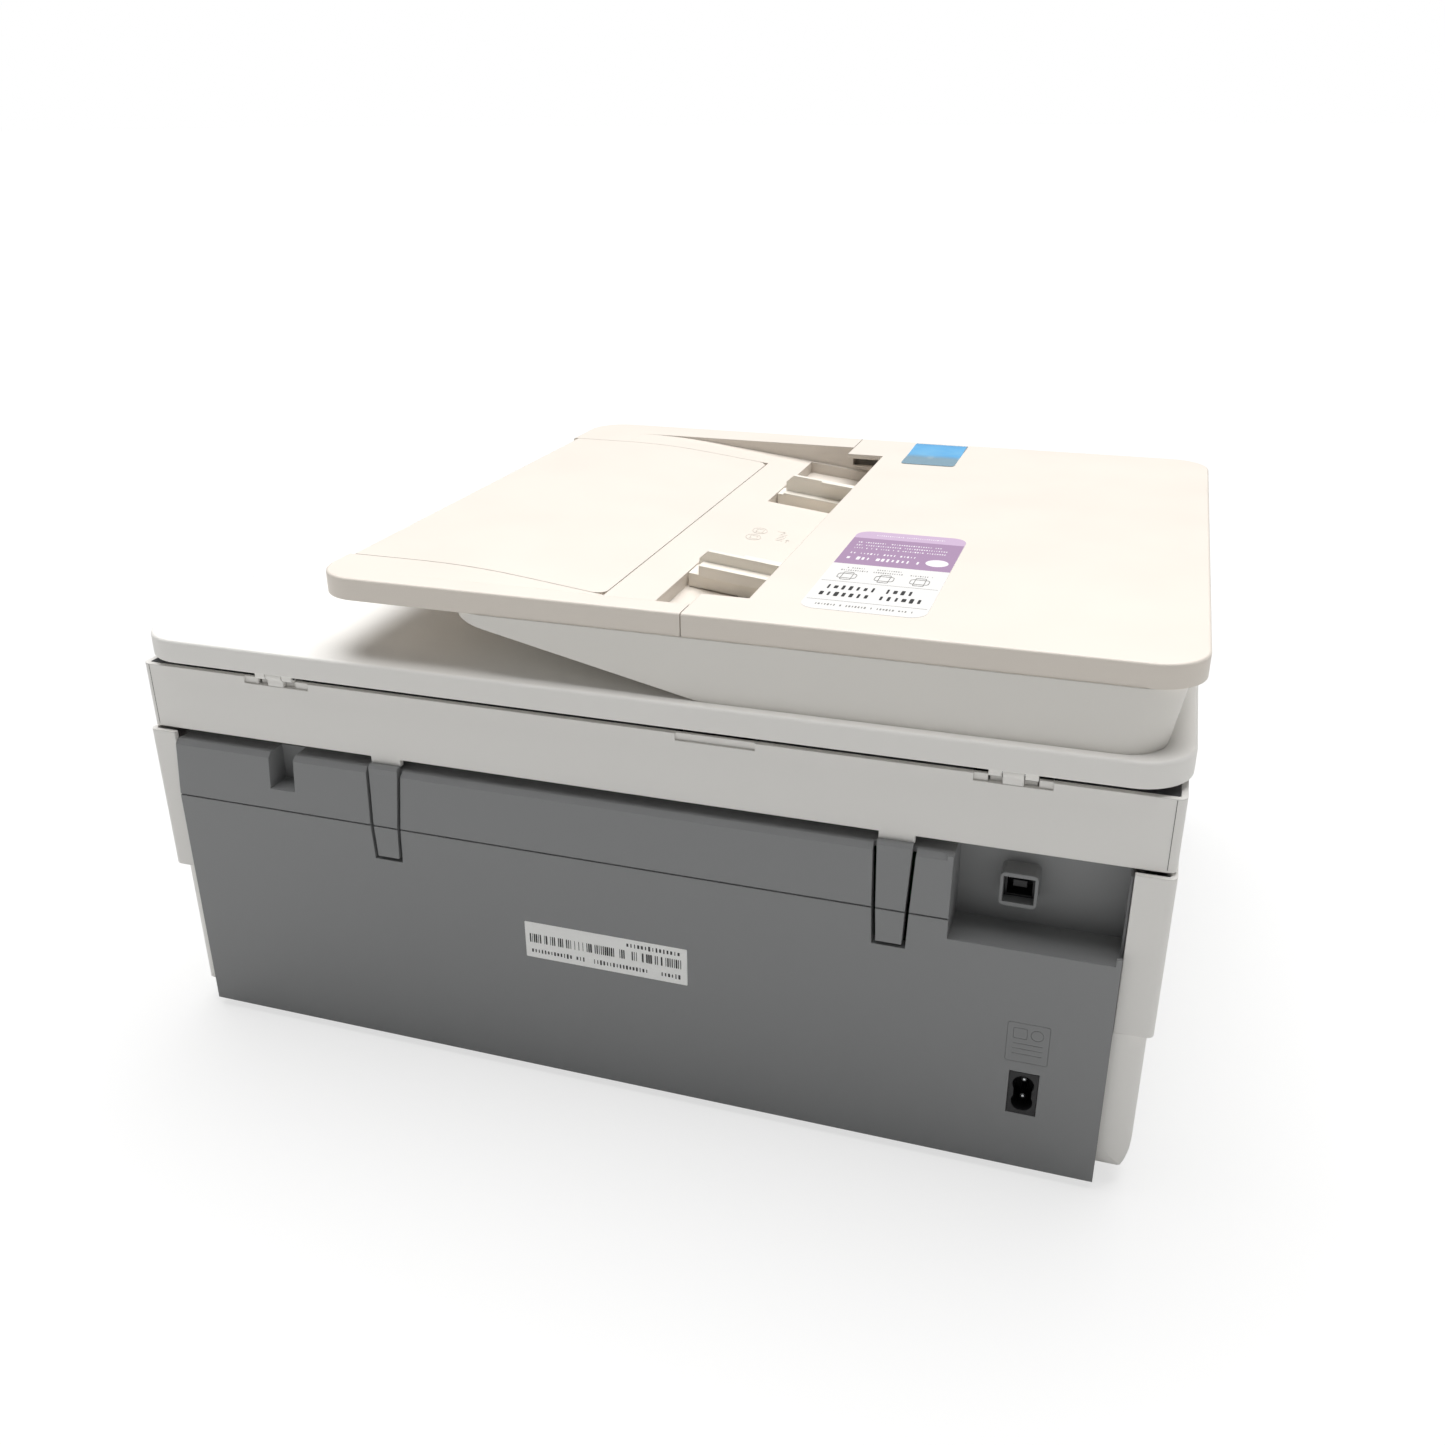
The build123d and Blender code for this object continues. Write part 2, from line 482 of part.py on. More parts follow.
DECK_LOW = BAND_TOP - DECK_T
with BuildPart() as scanner_deck:
    rounded(-BAND_X + WALL + FIT, BAND_X - WALL - FIT, BAND_FRONT + WALL + FIT, BAND_BACK - WALL - FIT,
            DECK_LOW, BAND_TOP, BAND_R - WALL - FIT)
    for centre_x, length in ((GLASS_X, GLASS_W), (STRIP_X, STRIP_W)):
        block(centre_x - length / 2, centre_x + length / 2, FEED_Y - GLASS_D / 2, FEED_Y + GLASS_D / 2,
              DECK_LOW - 1, BAND_TOP + 1, mode=Mode.SUBTRACT)
    for notch_x, notch_w in LID_NOTCHES:
        block(notch_x - notch_w / 2, notch_x + notch_w / 2, BAND_BACK - WALL - 8, BAND_BACK,
              DECK_LOW - 1, BAND_TOP + 1, mode=Mode.SUBTRACT)
save(scanner_deck.part, "scanner_deck")


def pane(centre_x, length):
    """A glass pane held against the deck's underside."""
    with BuildPart() as glass:
        block(centre_x - length / 2 - GLASS_LAP, centre_x + length / 2 + GLASS_LAP,
              FEED_Y - GLASS_D / 2 - GLASS_LAP, FEED_Y + GLASS_D / 2 + GLASS_LAP, DECK_LOW - GLASS_T, DECK_LOW)
    return glass.part


save(pane(GLASS_X, GLASS_W), "flatbed_glass")
save(pane(STRIP_X, STRIP_W), "strip_glass")

RAIL_Z = BODY_TOP + WALL + 4.5
with BuildPart() as scan_rail:
    rod_x(-BAND_X + WALL + 0.1, BAND_X - WALL - 0.1, FEED_Y, RAIL_Z, RAIL_R)
save(scan_rail.part, "scan_rail")

with BuildPart() as scan_bar:
    bar_top = DECK_LOW - GLASS_T - GAP
    block(STRIP_X - BAR_W / 2, STRIP_X + BAR_W / 2, FEED_Y - BAR_D / 2, FEED_Y + BAR_D / 2, bar_top - BAR_H, bar_top)
    block(STRIP_X - BAR_W / 2, STRIP_X + BAR_W / 2, FEED_Y - 9, FEED_Y + 9, BODY_TOP + WALL + GAP, bar_top - BAR_H)
    rod_x(STRIP_X - BAR_W, STRIP_X + BAR_W, FEED_Y, RAIL_Z, RAIL_R + RUN, mode=Mode.SUBTRACT)
    block(STRIP_X - 2, STRIP_X + 2, FEED_Y - GLASS_D / 2, FEED_Y + GLASS_D / 2, bar_top - 1, bar_top,
          mode=Mode.SUBTRACT)
save(scan_bar.part, "scan_bar")


def lid_hinge(hinge_x):
    """Fixed half of a lid hinge: a foot inside the scanner's rear wall and a lug on the hinge line."""
    with BuildPart() as hinge:
        rod_x(hinge_x - LUG_W / 2, hinge_x + LUG_W / 2, HINGE_Y, HINGE_Z, KNUCKLE_R)
        post_low = BAND_TOP - LID_NOTCH_H + 0.1
        block(hinge_x - LUG_W / 2, hinge_x + LUG_W / 2, HINGE_Y - 1.3, HINGE_Y + 0.9, post_low, HINGE_Z)
        block(hinge_x - LUG_W / 2, hinge_x + LUG_W / 2, BAND_BACK - WALL - 5, HINGE_Y - 0.5, post_low, post_low + 1.6)
        block(hinge_x - LUG_W / 2 - 5, hinge_x + LUG_W / 2 + 5, BAND_BACK - WALL - 5, BAND_BACK - WALL - 0.1,
              BODY_TOP + WALL, post_low + 1.6)
        rod_x(hinge_x - LUG_W, hinge_x + LUG_W, HINGE_Y, HINGE_Z, HINGE_PIN_R + RUN, mode=Mode.SUBTRACT)
    return hinge.part


HINGE_XS = (LID_NOTCHES[0][0], LID_NOTCHES[2][0])
save(lid_hinge(HINGE_XS[0]), "lid_hinge_left")
save(lid_hinge(HINGE_XS[1]), "lid_hinge_right")

# =============================================================== lid
PAD_X0, PAD_X1 = STRIP_X + STRIP_W / 2 + 6, GLASS_X + GLASS_W / 2 + 4
PAD_Y0, PAD_Y1 = FEED_Y - GLASS_D / 2 - 4, FEED_Y + GLASS_D / 2 + 4
PAD_LOW = BAND_TOP + GAP
with BuildPart() as lid_plate:
    rounded(-LID_X, LID_X, LID_FRONT, LID_BACK, LID_LOW, LID_TOP, LID_R)
    fillet(lid_plate.edges().group_by(Axis.Z)[-1], 1.6)
    fillet(lid_plate.edges().group_by(Axis.Z)[0], 0.8)
    block(PAD_X0 - 2, PAD_X1 + 2, PAD_Y0 - 2, PAD_Y1 + 2, LID_LOW - 1, LID_TOP - WALL, mode=Mode.SUBTRACT)
    block(-LID_X + 8, PAD_X0 - 5, PAD_Y0 - 2, PAD_Y1 + 2, LID_LOW - 1, LID_TOP - WALL, mode=Mode.SUBTRACT)
    block(PAD_X1 + 5, LID_X - 8, PAD_Y0 - 2, PAD_Y1 + 2, LID_LOW - 1, LID_TOP - WALL, mode=Mode.SUBTRACT)
    for hinge_x in HINGE_XS:
        # room above the fixed lug, then an ear at each side of it
        block(hinge_x - LUG_W / 2 - GAP, hinge_x + LUG_W / 2 + GAP, HINGE_Y - KNUCKLE_R - 0.4,
              HINGE_Y + KNUCKLE_R + 0.4, LID_LOW - 1, HINGE_Z + KNUCKLE_R + 0.4, mode=Mode.SUBTRACT)
        for side in (-1, 1):
            inner, outer = side * (LUG_W / 2 + GAP), side * (LUG_W / 2 + GAP + EAR_W)
            x0, x1 = hinge_x + min(inner, outer), hinge_x + max(inner, outer)
            rod_x(x0, x1, HINGE_Y, HINGE_Z, KNUCKLE_R)
            block(x0, x1, HINGE_Y - KNUCKLE_R, HINGE_Y + KNUCKLE_R, HINGE_Z, LID_LOW + 1)
            rod_x(x0, x1, HINGE_Y, HINGE_Z, HINGE_PIN_R, mode=Mode.SUBTRACT)
save(lid_plate.part, "lid_plate")

with BuildPart() as lid_pins:
    for hinge_x in HINGE_XS:
        half_pin = LUG_W / 2 + GAP + EAR_W
        rod_x(hinge_x - half_pin, hinge_x + half_pin, HINGE_Y, HINGE_Z, HINGE_PIN_R)
save(lid_pins.part, "lid_pins")

with BuildPart() as lid_pad:
    block(PAD_X0, PAD_X1, PAD_Y0, PAD_Y1, PAD_LOW, LID_TOP - WALL)
    fillet(lid_pad.edges().filter_by(Axis.Z), 5)
save(lid_pad.part, "lid_pad")

# =============================================================== document feeder
SLOPE = tan(radians(TRAY_ANGLE))
BEND_R = TRAY_BEND / sin(radians(TRAY_ANGLE))
BEND_Z = HEIGHT - BEND_R * (1 - cos(radians(TRAY_ANGLE)))
BEND_X = TRAY_FLAT_X - TRAY_BEND


def slope_z(x, drop=0.0):
    """Height of the tray's straight slope at x, less a drop."""
    return BEND_Z + SLOPE * (x - BEND_X) - drop


def tray_sheet(x_low, x_high, top_drop, bottom_drop, y0, y1, mode=Mode.ADD):
    """The tray's surface between two drops below it: level, bend, then slope."""
    half_bend = radians(TRAY_ANGLE) / 2
    middle = (TRAY_FLAT_X - BEND_R * sin(half_bend), HEIGHT - BEND_R * (1 - cos(half_bend)))
    with BuildSketch(Plane.XZ.offset(-y1)) as outline:
        with BuildLine():
            Line((x_low, slope_z(x_low, top_drop)), (BEND_X, BEND_Z - top_drop))
            ThreePointArc((BEND_X, BEND_Z - top_drop), (middle[0], middle[1] - top_drop),
                          (TRAY_FLAT_X, HEIGHT - top_drop))
            Polyline((TRAY_FLAT_X, HEIGHT - top_drop), (x_high, HEIGHT - top_drop),
                     (x_high, HEIGHT - bottom_drop), (TRAY_FLAT_X, HEIGHT - bottom_drop))
            ThreePointArc((TRAY_FLAT_X, HEIGHT - bottom_drop), (middle[0], middle[1] - bottom_drop),
                          (BEND_X, BEND_Z - bottom_drop))
            Polyline((BEND_X, BEND_Z - bottom_drop), (x_low, slope_z(x_low, bottom_drop)),
                     (x_low, slope_z(x_low, top_drop)))
        make_face()
    extrude(outline.sketch, amount=y1 - y0, mode=mode)


HOUSE_FLOOR = LID_TOP + WALL
RIB_Y0, RIB_Y1 = RIM_FRONT + 8, RIM_REAR - 8
ROLLER_Z = LID_TOP + 15.5
ROLLER_STEP = ROLLER_TEETH * 1.0
COVER_HINGE_X, COVER_HINGE_Z = -HALF + 4.3, SLAB_LOW + 2.0
PINION_X = -HALF + 187.5
PINION_Z = HOUSE_FLOOR + 4.0

def drafted_house(inset, low, high):
    """The feeder housing's outline between two heights, inset all round; its end leans in towards its foot."""
    with BuildPart() as house:
        for z in (low, high):
            end = HOUSE_X + HOUSE_DRAFT * (SLAB_LOW - z) / FEEDER_H + inset
            with BuildSketch(Plane.XY.offset(z)):
                with Locations(((end + CHIN_END - inset) / 2, (HOUSE_Y0 + HOUSE_Y1) / 2)):
                    RectangleRounded(CHIN_END - end - inset, HOUSE_Y1 - HOUSE_Y0 - 2 * inset, HOUSE_R - inset)
        loft(ruled=True)
    return house.part


with BuildPart() as adf_base:
    chin_rise = SLAB_LOW - 2.2 - LID_TOP
    add(drafted_house(0, LID_TOP, SLAB_LOW))
    # underside that rises towards the paper's way out
    along_y([(CHIN_X, LID_TOP - 1), (CHIN_X, LID_TOP), (CHIN_END, LID_TOP + chin_rise),
             (CHIN_END + 1, LID_TOP + chin_rise), (CHIN_END + 1, LID_TOP - 1)],
            HOUSE_Y0 - 1, HOUSE_Y1 + 1, mode=Mode.SUBTRACT)
    # hollow inside, open at the top
    rise_angle = atan(chin_rise / (CHIN_END - CHIN_X))
    with BuildPart() as hollow:
        add(drafted_house(WALL, HOUSE_FLOOR, SLAB_LOW + 1))
        along_y([(CHIN_X, HOUSE_FLOOR - 1), (CHIN_X, HOUSE_FLOOR), (CHIN_END, HOUSE_FLOOR + (CHIN_END - CHIN_X)
                 * tan(rise_angle)), (CHIN_END, HOUSE_FLOOR - 1)], HOUSE_Y0, HOUSE_Y1, mode=Mode.SUBTRACT)
    add(hollow.part, mode=Mode.SUBTRACT)
    # bearing ribs for the rollers
    for rib_y in (RIB_Y0, RIB_Y1):
        block(ROLLER_X - ROLLER_STEP - 8, ROLLER_X + 8, rib_y - 2, rib_y + 2, HOUSE_FLOOR - 1, ROLLER_Z + 6)
        for step in range(2):
            rod_y(ROLLER_X - step * ROLLER_STEP, rib_y - 3, rib_y + 3, ROLLER_Z, ROLLER_SHAFT_R + RUN,
                  mode=Mode.SUBTRACT)
    # pivot of the guides' pinion
    rod_z(PINION_X, FEED_Y, HOUSE_FLOOR - 1, PINION_Z, 4)
    rod_z(PINION_X, FEED_Y, PINION_Z - 1, PINION_Z + RACK_H + 0.8, 2)
    # lugs for the cover's rod
    for lug_y in (HOUSE_Y0 + 40, (HOUSE_Y0 + HOUSE_Y1) / 2, HOUSE_Y1 - 40):
        rod_y(COVER_HINGE_X, lug_y - 5, lug_y + 5, COVER_HINGE_Z, 1.5)
        along_y([(COVER_HINGE_X, COVER_HINGE_Z + 1.5), (HOUSE_X + WALL, COVER_HINGE_Z + 1.5),
                 (HOUSE_X + WALL, SLAB_LOW - 2), (HOUSE_X, SLAB_LOW - 2), (HOUSE_X, COVER_HINGE_Z - 1.2),
                 (COVER_HINGE_X, COVER_HINGE_Z - 1.2)], lug_y - 5, lug_y + 5)
        rod_y(COVER_HINGE_X, lug_y - 6, lug_y + 6, COVER_HINGE_Z, COVER_ROD_R + RUN, mode=Mode.SUBTRACT)
save(adf_base.part, "adf_base")

FLAP_END = SLAB_X - 3.7
FLAP_PIN_Z = HEIGHT - FLAP_T / 2
SLOT_X0 = COVER_X - 22.0
SLOT_X1 = SEAM_X + 25.0

with BuildPart() as adf_tray:
    # rim round the recess
    rounded(SEAM_X + GAP, SLAB_X, SLAB_Y0, SLAB_Y1, SLAB_LOW, HEIGHT, SLAB_R)
    block(SEAM_X + GAP, SEAM_X + GAP + SLAB_R, SLAB_Y0, SLAB_Y1, SLAB_LOW, HEIGHT)
    fillet(adf_tray.edges().group_by(Axis.Z)[-1].filter_by(
        lambda edge: edge.center().X > SEAM_X + GAP + 1), 1.2)
    along_y([(SEAM_X - 1, HEIGHT + 1), (TRAY_FLAT_X + 1, HEIGHT + 1), (TRAY_FLAT_X + 1, HEIGHT - TRAY_T - 9),
             (SEAM_X - 1, HEIGHT - TRAY_T - 9)], RIM_FRONT, RIM_REAR, mode=Mode.SUBTRACT)
    block(TRAY_FLAT_X - 1, SLAB_X - WALL, RIM_FRONT, RIM_REAR, SLAB_LOW - 1, HEIGHT - TRAY_T, mode=Mode.SUBTRACT)
    tray_sheet(TRAY_IN, SLAB_X - WALL, 0, TRAY_T, RIM_FRONT - 0.01, RIM_REAR + 0.01)
    # skirts beside the sloped sheet, inside the housing
    skirt_end = BEND_X + (SLAB_LOW + 1 - BEND_Z + TRAY_T) / SLOPE
    for y0, y1 in ((RIM_FRONT - WALL, RIM_FRONT), (RIM_REAR, RIM_REAR + WALL)):
        along_y([(TRAY_IN, slope_z(TRAY_IN, TRAY_T)), (TRAY_IN, SLAB_LOW - 0.6), (SEAM_X + GAP, SLAB_LOW - 0.6),
                 (SEAM_X + GAP, SLAB_LOW + 1), (skirt_end, SLAB_LOW + 1)], y0, y1)
    # pocket and bearings of the flap
    tray_sheet(FLAP_X - GAP, SLAB_X + 1, -1, FLAP_T + GAP, FLAP_Y0 - GAP, FLAP_Y1 + GAP, mode=Mode.SUBTRACT)
    rod_y(FLAP_END, FLAP_Y0 - 6, FLAP_Y1 + 6, FLAP_PIN_Z, FLAP_PIN_R + RUN, mode=Mode.SUBTRACT)
    # channels for the paper guides, with a slit for each guide's foot
    for side in (-1, 1):
        inner, outer = side * (GUIDE_HALF - GUIDE_CLOSE - 9), side * 145.0
        y0, y1 = FEED_Y + min(inner, outer), FEED_Y + max(inner, outer)
        along_y([(SLOT_X0, slope_z(SLOT_X0, -1)), (SLOT_X1, slope_z(SLOT_X1, -1)),
                 (SLOT_X1, slope_z(SLOT_X1, SLOT_D)), (SLOT_X0, slope_z(SLOT_X0, SLOT_D))], y0, y1,
                mode=Mode.SUBTRACT)
        rack_x = PINION_X + side * (PINION_TEETH / 2 + 1.2 + RACK_W / 2)
        y0, y1 = sorted((FEED_Y + inner + side * 0.5, FEED_Y + outer - side * 12))
        block(rack_x - RACK_W / 2 - 0.5, rack_x + RACK_W / 2 + 0.5, y0, y1,
              slope_z(TRAY_IN) - 20, SLAB_LOW + 2, mode=Mode.SUBTRACT)
save(adf_tray.part, "adf_tray")

with BuildPart() as tray_flap:
    tray_sheet(FLAP_X, FLAP_END, 0, FLAP_T, FLAP_Y0, FLAP_Y1)
    fillet(tray_flap.edges().filter_by(Axis.Z).group_by(Axis.X)[0], 6)
    rod_y(FLAP_END, FLAP_Y0, FLAP_Y1, FLAP_PIN_Z, FLAP_T / 2)
    rod_y(FLAP_END, FLAP_Y0 - 4, FLAP_Y1 + 4, FLAP_PIN_Z, FLAP_PIN_R)
save(tray_flap.part, "tray_flap")


def paper_guide(side):
    """A paper guide: fin, flange on the tray, foot in the channel and a rack under the tray."""
    fin = FEED_Y + side * GUIDE_HALF
    outer = fin + side * GUIDE_T
    flange = fin - side * 6.0
    rack_x = PINION_X + side * (PINION_TEETH / 2 + 1.2 + RACK_W / 2)
    foot_y = sorted((fin - side * 5.0, outer + side * 5.0))
    with BuildPart() as guide:
        # the upright fin, its top along the tray's slope, rounded where it starts
        y0, y1 = sorted((fin, outer))
        along_y([(GUIDE_IN, slope_z(GUIDE_IN, -0.4)), (GUIDE_X, slope_z(GUIDE_X, -0.4)),
                 (GUIDE_X, slope_z(GUIDE_X, 4 - GUIDE_H)), (GUIDE_X - 4, slope_z(GUIDE_X - 4, -GUIDE_H)),
                 (GUIDE_IN, slope_z(GUIDE_IN, -GUIDE_H))], y0, y1)
        # flange over the paper's side and a lower block outside the fin
        y0, y1 = sorted((flange, fin))
        along_y([(GUIDE_IN, slope_z(GUIDE_IN, -0.4)), (GUIDE_X, slope_z(GUIDE_X, -0.4)),
                 (GUIDE_X, slope_z(GUIDE_X, -1.6)), (GUIDE_IN, slope_z(GUIDE_IN, -1.6))], y0, y1)
        along_y([(GUIDE_IN + 20, slope_z(GUIDE_IN + 20, 2 - GUIDE_H)), (GUIDE_X - 20, slope_z(GUIDE_X - 20, 2 - GUIDE_H)),
                 (GUIDE_X - 20, slope_z(GUIDE_X - 20, -GUIDE_H)), (GUIDE_IN + 20, slope_z(GUIDE_IN + 20, -GUIDE_H))],
                min(fin, fin - side * 2.5), max(fin, fin - side * 2.5))
        y0, y1 = sorted((outer, outer + side * 7.0))
        along_y([(GUIDE_IN, slope_z(GUIDE_IN, -0.4)), (GUIDE_X - 2, slope_z(GUIDE_X - 2, -0.4)),
                 (GUIDE_X - 2, slope_z(GUIDE_X - 2, 5 - GUIDE_H)), (GUIDE_IN, slope_z(GUIDE_IN, 5 - GUIDE_H))], y0, y1)
        # foot in the channel
        along_y([(SLOT_X0 + 1, slope_z(SLOT_X0 + 1, SLOT_D - GAP)), (SLOT_X1 - 1, slope_z(SLOT_X1 - 1, SLOT_D - GAP)),
                 (SLOT_X1 - 1, slope_z(SLOT_X1 - 1, -0.5)), (SLOT_X0 + 1, slope_z(SLOT_X0 + 1, -0.5))], *foot_y)
        # stem through the slit, and the rack that reaches past the pinion
        block(rack_x - RACK_W / 2, rack_x + RACK_W / 2, *foot_y, PINION_Z + GAP, slope_z(rack_x, 2))
        y0, y1 = sorted((foot_y[1] if side > 0 else foot_y[0], FEED_Y - side * 40))
        block(rack_x - RACK_W / 2, rack_x + RACK_W / 2, y0, y1, PINION_Z + GAP, PINION_Z + GAP + RACK_H)
        # teeth towards the pinion; a tooth or a gap faces it at rest
        count = int(54 / pi)
        for step in range(-count, count + 1):
            tooth_y = FEED_Y + (step + 0.5) * pi
            if y0 + 2 < tooth_y < y1 - 2:
                face = rack_x - side * RACK_W / 2
                with BuildSketch(Plane.XY.offset(PINION_Z + GAP)):
                    with BuildLine():
                        Polyline((face + side * 0.5, tooth_y - 0.85), (face, tooth_y - 0.85),
                                 (face - side * 1.7, tooth_y - 0.25), (face - side * 1.7, tooth_y + 0.25),
                                 (face, tooth_y + 0.85), (face + side * 0.5, tooth_y + 0.85), close=True)
                    make_face()
                extrude(amount=RACK_H)
    return guide.part


save(paper_guide(1), "guide_rear")
save(paper_guide(-1), "guide_front")

with BuildPart() as guide_pinion:
    toothed(Plane((PINION_X, FEED_Y, PINION_Z + GAP), x_dir=(1, 0, 0), z_dir=(0, 0, 1)),
            PINION_TEETH, 1.0, RACK_H)
    rod_z(PINION_X, FEED_Y, PINION_Z, PINION_Z + RACK_H + 1, 2 + RUN, mode=Mode.SUBTRACT)
save(guide_pinion.part, "guide_pinion")


def feeder_roller(step):
    """A rubber-faced roller on its shaft, with a wheel that meshes with its neighbour's."""
    roller_x = ROLLER_X - step * ROLLER_STEP
    with BuildPart() as roller:
        rod_y(roller_x, RIB_Y0 - 12, RIB_Y1 + 4, ROLLER_Z, ROLLER_SHAFT_R)
        for offset in (-70, 0, 70):
            rod_y(roller_x, FEED_Y + offset - 18, FEED_Y + offset + 18, ROLLER_Z, ROLLER_R)
        toothed(Plane((roller_x, RIB_Y0 - 4, ROLLER_Z), x_dir=(1, 0, 0), z_dir=(0, -1, 0)),
                ROLLER_TEETH, 1.0, 6, phase=step * 0.5)
    return roller.part


save(feeder_roller(0), "pick_roller")
save(feeder_roller(1), "feeder_roller")

with BuildPart() as adf_cover:
    rounded(-HALF, SEAM_X + SLAB_R + 5, SLAB_Y0, SLAB_Y1, SLAB_LOW, HEIGHT, SLAB_R)
    fillet(adf_cover.edges().group_by(Axis.Z)[-1], 1.2)
    block(SEAM_X, SEAM_X + 2 * SLAB_R, SLAB_Y0 - 1, SLAB_Y1 + 1, SLAB_LOW - 1, HEIGHT + 1, mode=Mode.SUBTRACT)
    rounded(-HALF + WALL, SEAM_X + SLAB_R + 5, SLAB_Y0 + WALL, SLAB_Y1 - WALL, SLAB_LOW - 1, HEIGHT - WALL,
            SLAB_R - WALL, mode=Mode.SUBTRACT)
    block(COVER_X, SEAM_X + 1, ARM_FRONT, ARM_REAR, SLAB_LOW - 1, HEIGHT + 1, mode=Mode.SUBTRACT)
    # seats for the hinge rod's ends
    for y0, y1 in ((SLAB_Y0 + SLAB_R, SLAB_Y0 + SLAB_R + 6), (SLAB_Y1 - SLAB_R - 6, SLAB_Y1 - SLAB_R)):
        block(-HALF + 1, COVER_HINGE_X + 2.2, y0, y1, COVER_HINGE_Z - 1.6, HEIGHT - 1)
        rod_y(COVER_HINGE_X, y0 - 1, y1 + 1, COVER_HINGE_Z, COVER_ROD_R, mode=Mode.SUBTRACT)
save(adf_cover.part, "adf_cover")

with BuildPart() as cover_rod:
    rod_y(COVER_HINGE_X, SLAB_Y0 + SLAB_R, SLAB_Y1 - SLAB_R, COVER_HINGE_Z, COVER_ROD_R)
save(cover_rod.part, "cover_rod")

# =============================================================== printing works
FEED_Y_SHAFT = WORKS_Y + GEAR_TEETH * GEAR_M
EJECT_Y_SHAFT = WORKS_Y - GEAR_TEETH * GEAR_M
MOTOR_Z = SHAFT_Z - (GEAR_TEETH + MOTOR_TEETH) * GEAR_M / 2
GEAR_X = -CHEEK_X - 1.5 - GEAR_W
BELT_Y = WORKS_BACK - 8.5
CHEEK_FRONT = WORKS_Y - 52.0
WORKS_TOP = 142.0

with BuildPart() as steel_chassis:
    block(-CHEEK_X, CHEEK_X, WORKS_BACK, WORKS_BACK + SHEET, SHAFT_Z - 10, WORKS_TOP)
    block(-CHEEK_X, CHEEK_X, WORKS_Y - 25, WORKS_Y + 22, RAIL_LOW, RAIL_LOW + SHEET)
    for side in (-1, 1):
        x0, x1 = sorted((side * (CHEEK_X - SHEET), side * CHEEK_X))
        block(x0, x1, CHEEK_FRONT, WORKS_BACK + SHEET, FOOT_H + WALL, WORKS_TOP)
        rod_x(x0 - 1, x1 + 1, ROD_Y, ROD_Z, ROD_R, mode=Mode.SUBTRACT)
        for shaft_y in (FEED_Y_SHAFT, EJECT_Y_SHAFT):
            rod_x(x0 - 1, x1 + 1, shaft_y, SHAFT_Z, SHAFT_R + RUN, mode=Mode.SUBTRACT)
    rod_x(-CHEEK_X - 1, -CHEEK_X + SHEET + 1, FEED_Y_SHAFT, MOTOR_Z, 2.5, mode=Mode.SUBTRACT)
    # pins of the idler gear and of the belt's idler pulley
    rod_x(GEAR_X - 1, -CHEEK_X + 0.5, WORKS_Y, SHAFT_Z, 3)
    rod_y(-PULLEY_X, BELT_Y - BELT_W / 2 - 2, WORKS_BACK + 0.5, ROD_Z, 2)
    rod_y(PULLEY_X, WORKS_BACK - 1, WORKS_BACK + SHEET + 1, ROD_Z, 2.5, mode=Mode.SUBTRACT)
save(steel_chassis.part, "steel_chassis")

with BuildPart() as carriage_rod:
    rod_x(-CHEEK_X - 2, CHEEK_X + 2, ROD_Y, ROD_Z, ROD_R)
save(carriage_rod.part, "carriage_rod")

with BuildPart() as platen:
    block(-CHEEK_X + SHEET, PLATEN_END, WORKS_Y - 25, WORKS_Y + 22, RAIL_LOW + SHEET, PLATEN_TOP - 1.5)
    for index in range(14):
        rib_x = -104 + index * 16
        block(rib_x - 1, rib_x + 1, WORKS_Y - 23, WORKS_Y + 20, PLATEN_TOP - 2, PLATEN_TOP)
save(platen.part, "platen")

with BuildPart() as carriage:
    x0, x1 = CARRIAGE_X - CARRIAGE_W / 2, CARRIAGE_X + CARRIAGE_W / 2
    y0, y1 = CARRIAGE_Y0, WORKS_Y + 29
    block(x0, x1, y0, y1, CARRIAGE_Z0, CARRIAGE_Z1)
    for side in (-1, 1):
        bay = CARRIAGE_X + side * 16.5
        block(bay - 15, bay + 15, y0 - 1, y0 + 42, CARRIAGE_Z0 + 4, CARRIAGE_Z1 + 1, mode=Mode.SUBTRACT)
        block(bay - 9, bay + 9, y0 + 8, y0 + 34, CARRIAGE_Z0 - 1, CARRIAGE_Z0 + 5, mode=Mode.SUBTRACT)
    rod_x(x0 - 1, x1 + 1, ROD_Y, ROD_Z, ROD_R + RUN, mode=Mode.SUBTRACT)
    # clamp on the belt's lower run
    belt_low = ROD_Z - PULLEY_R - GAP - BELT_T
    block(CARRIAGE_X - 8, CARRIAGE_X + 8, y1, BELT_Y + BELT_W / 2, belt_low - 3.4, belt_low - GAP)
save(carriage.part, "carriage")


def cartridge(side, width):
    """An ink cartridge standing in its bay of the carriage."""
    bay = CARRIAGE_X + side * 16.5
    y0 = CARRIAGE_Y0 - 3
    with BuildPart() as ink:
        block(bay - width / 2, bay + width / 2, y0, y0 + 44, CARRIAGE_Z0 + 4.1, CARRIAGE_Z1 - 3)
        fillet(ink.edges().filter_by(Axis.X), 2)
        block(bay - 8, bay + 8, y0 + 13, y0 + 35, CARRIAGE_Z0 - 1.5, CARRIAGE_Z0 + 6)
    return ink.part


save(cartridge(-1, 29.0), "colour_cartridge")
save(cartridge(1, 29.0), "black_cartridge")

with BuildPart() as timing_belt:
    with BuildSketch(Plane.XZ.offset(-(BELT_Y + BELT_W / 2))):
        with Locations((0, ROD_Z)):
            SlotCenterToCenter(2 * PULLEY_X, 2 * (PULLEY_R + GAP + BELT_T))
            SlotCenterToCenter(2 * PULLEY_X, 2 * (PULLEY_R + GAP), mode=Mode.SUBTRACT)
    extrude(amount=BELT_W)
save(timing_belt.part, "timing_belt")

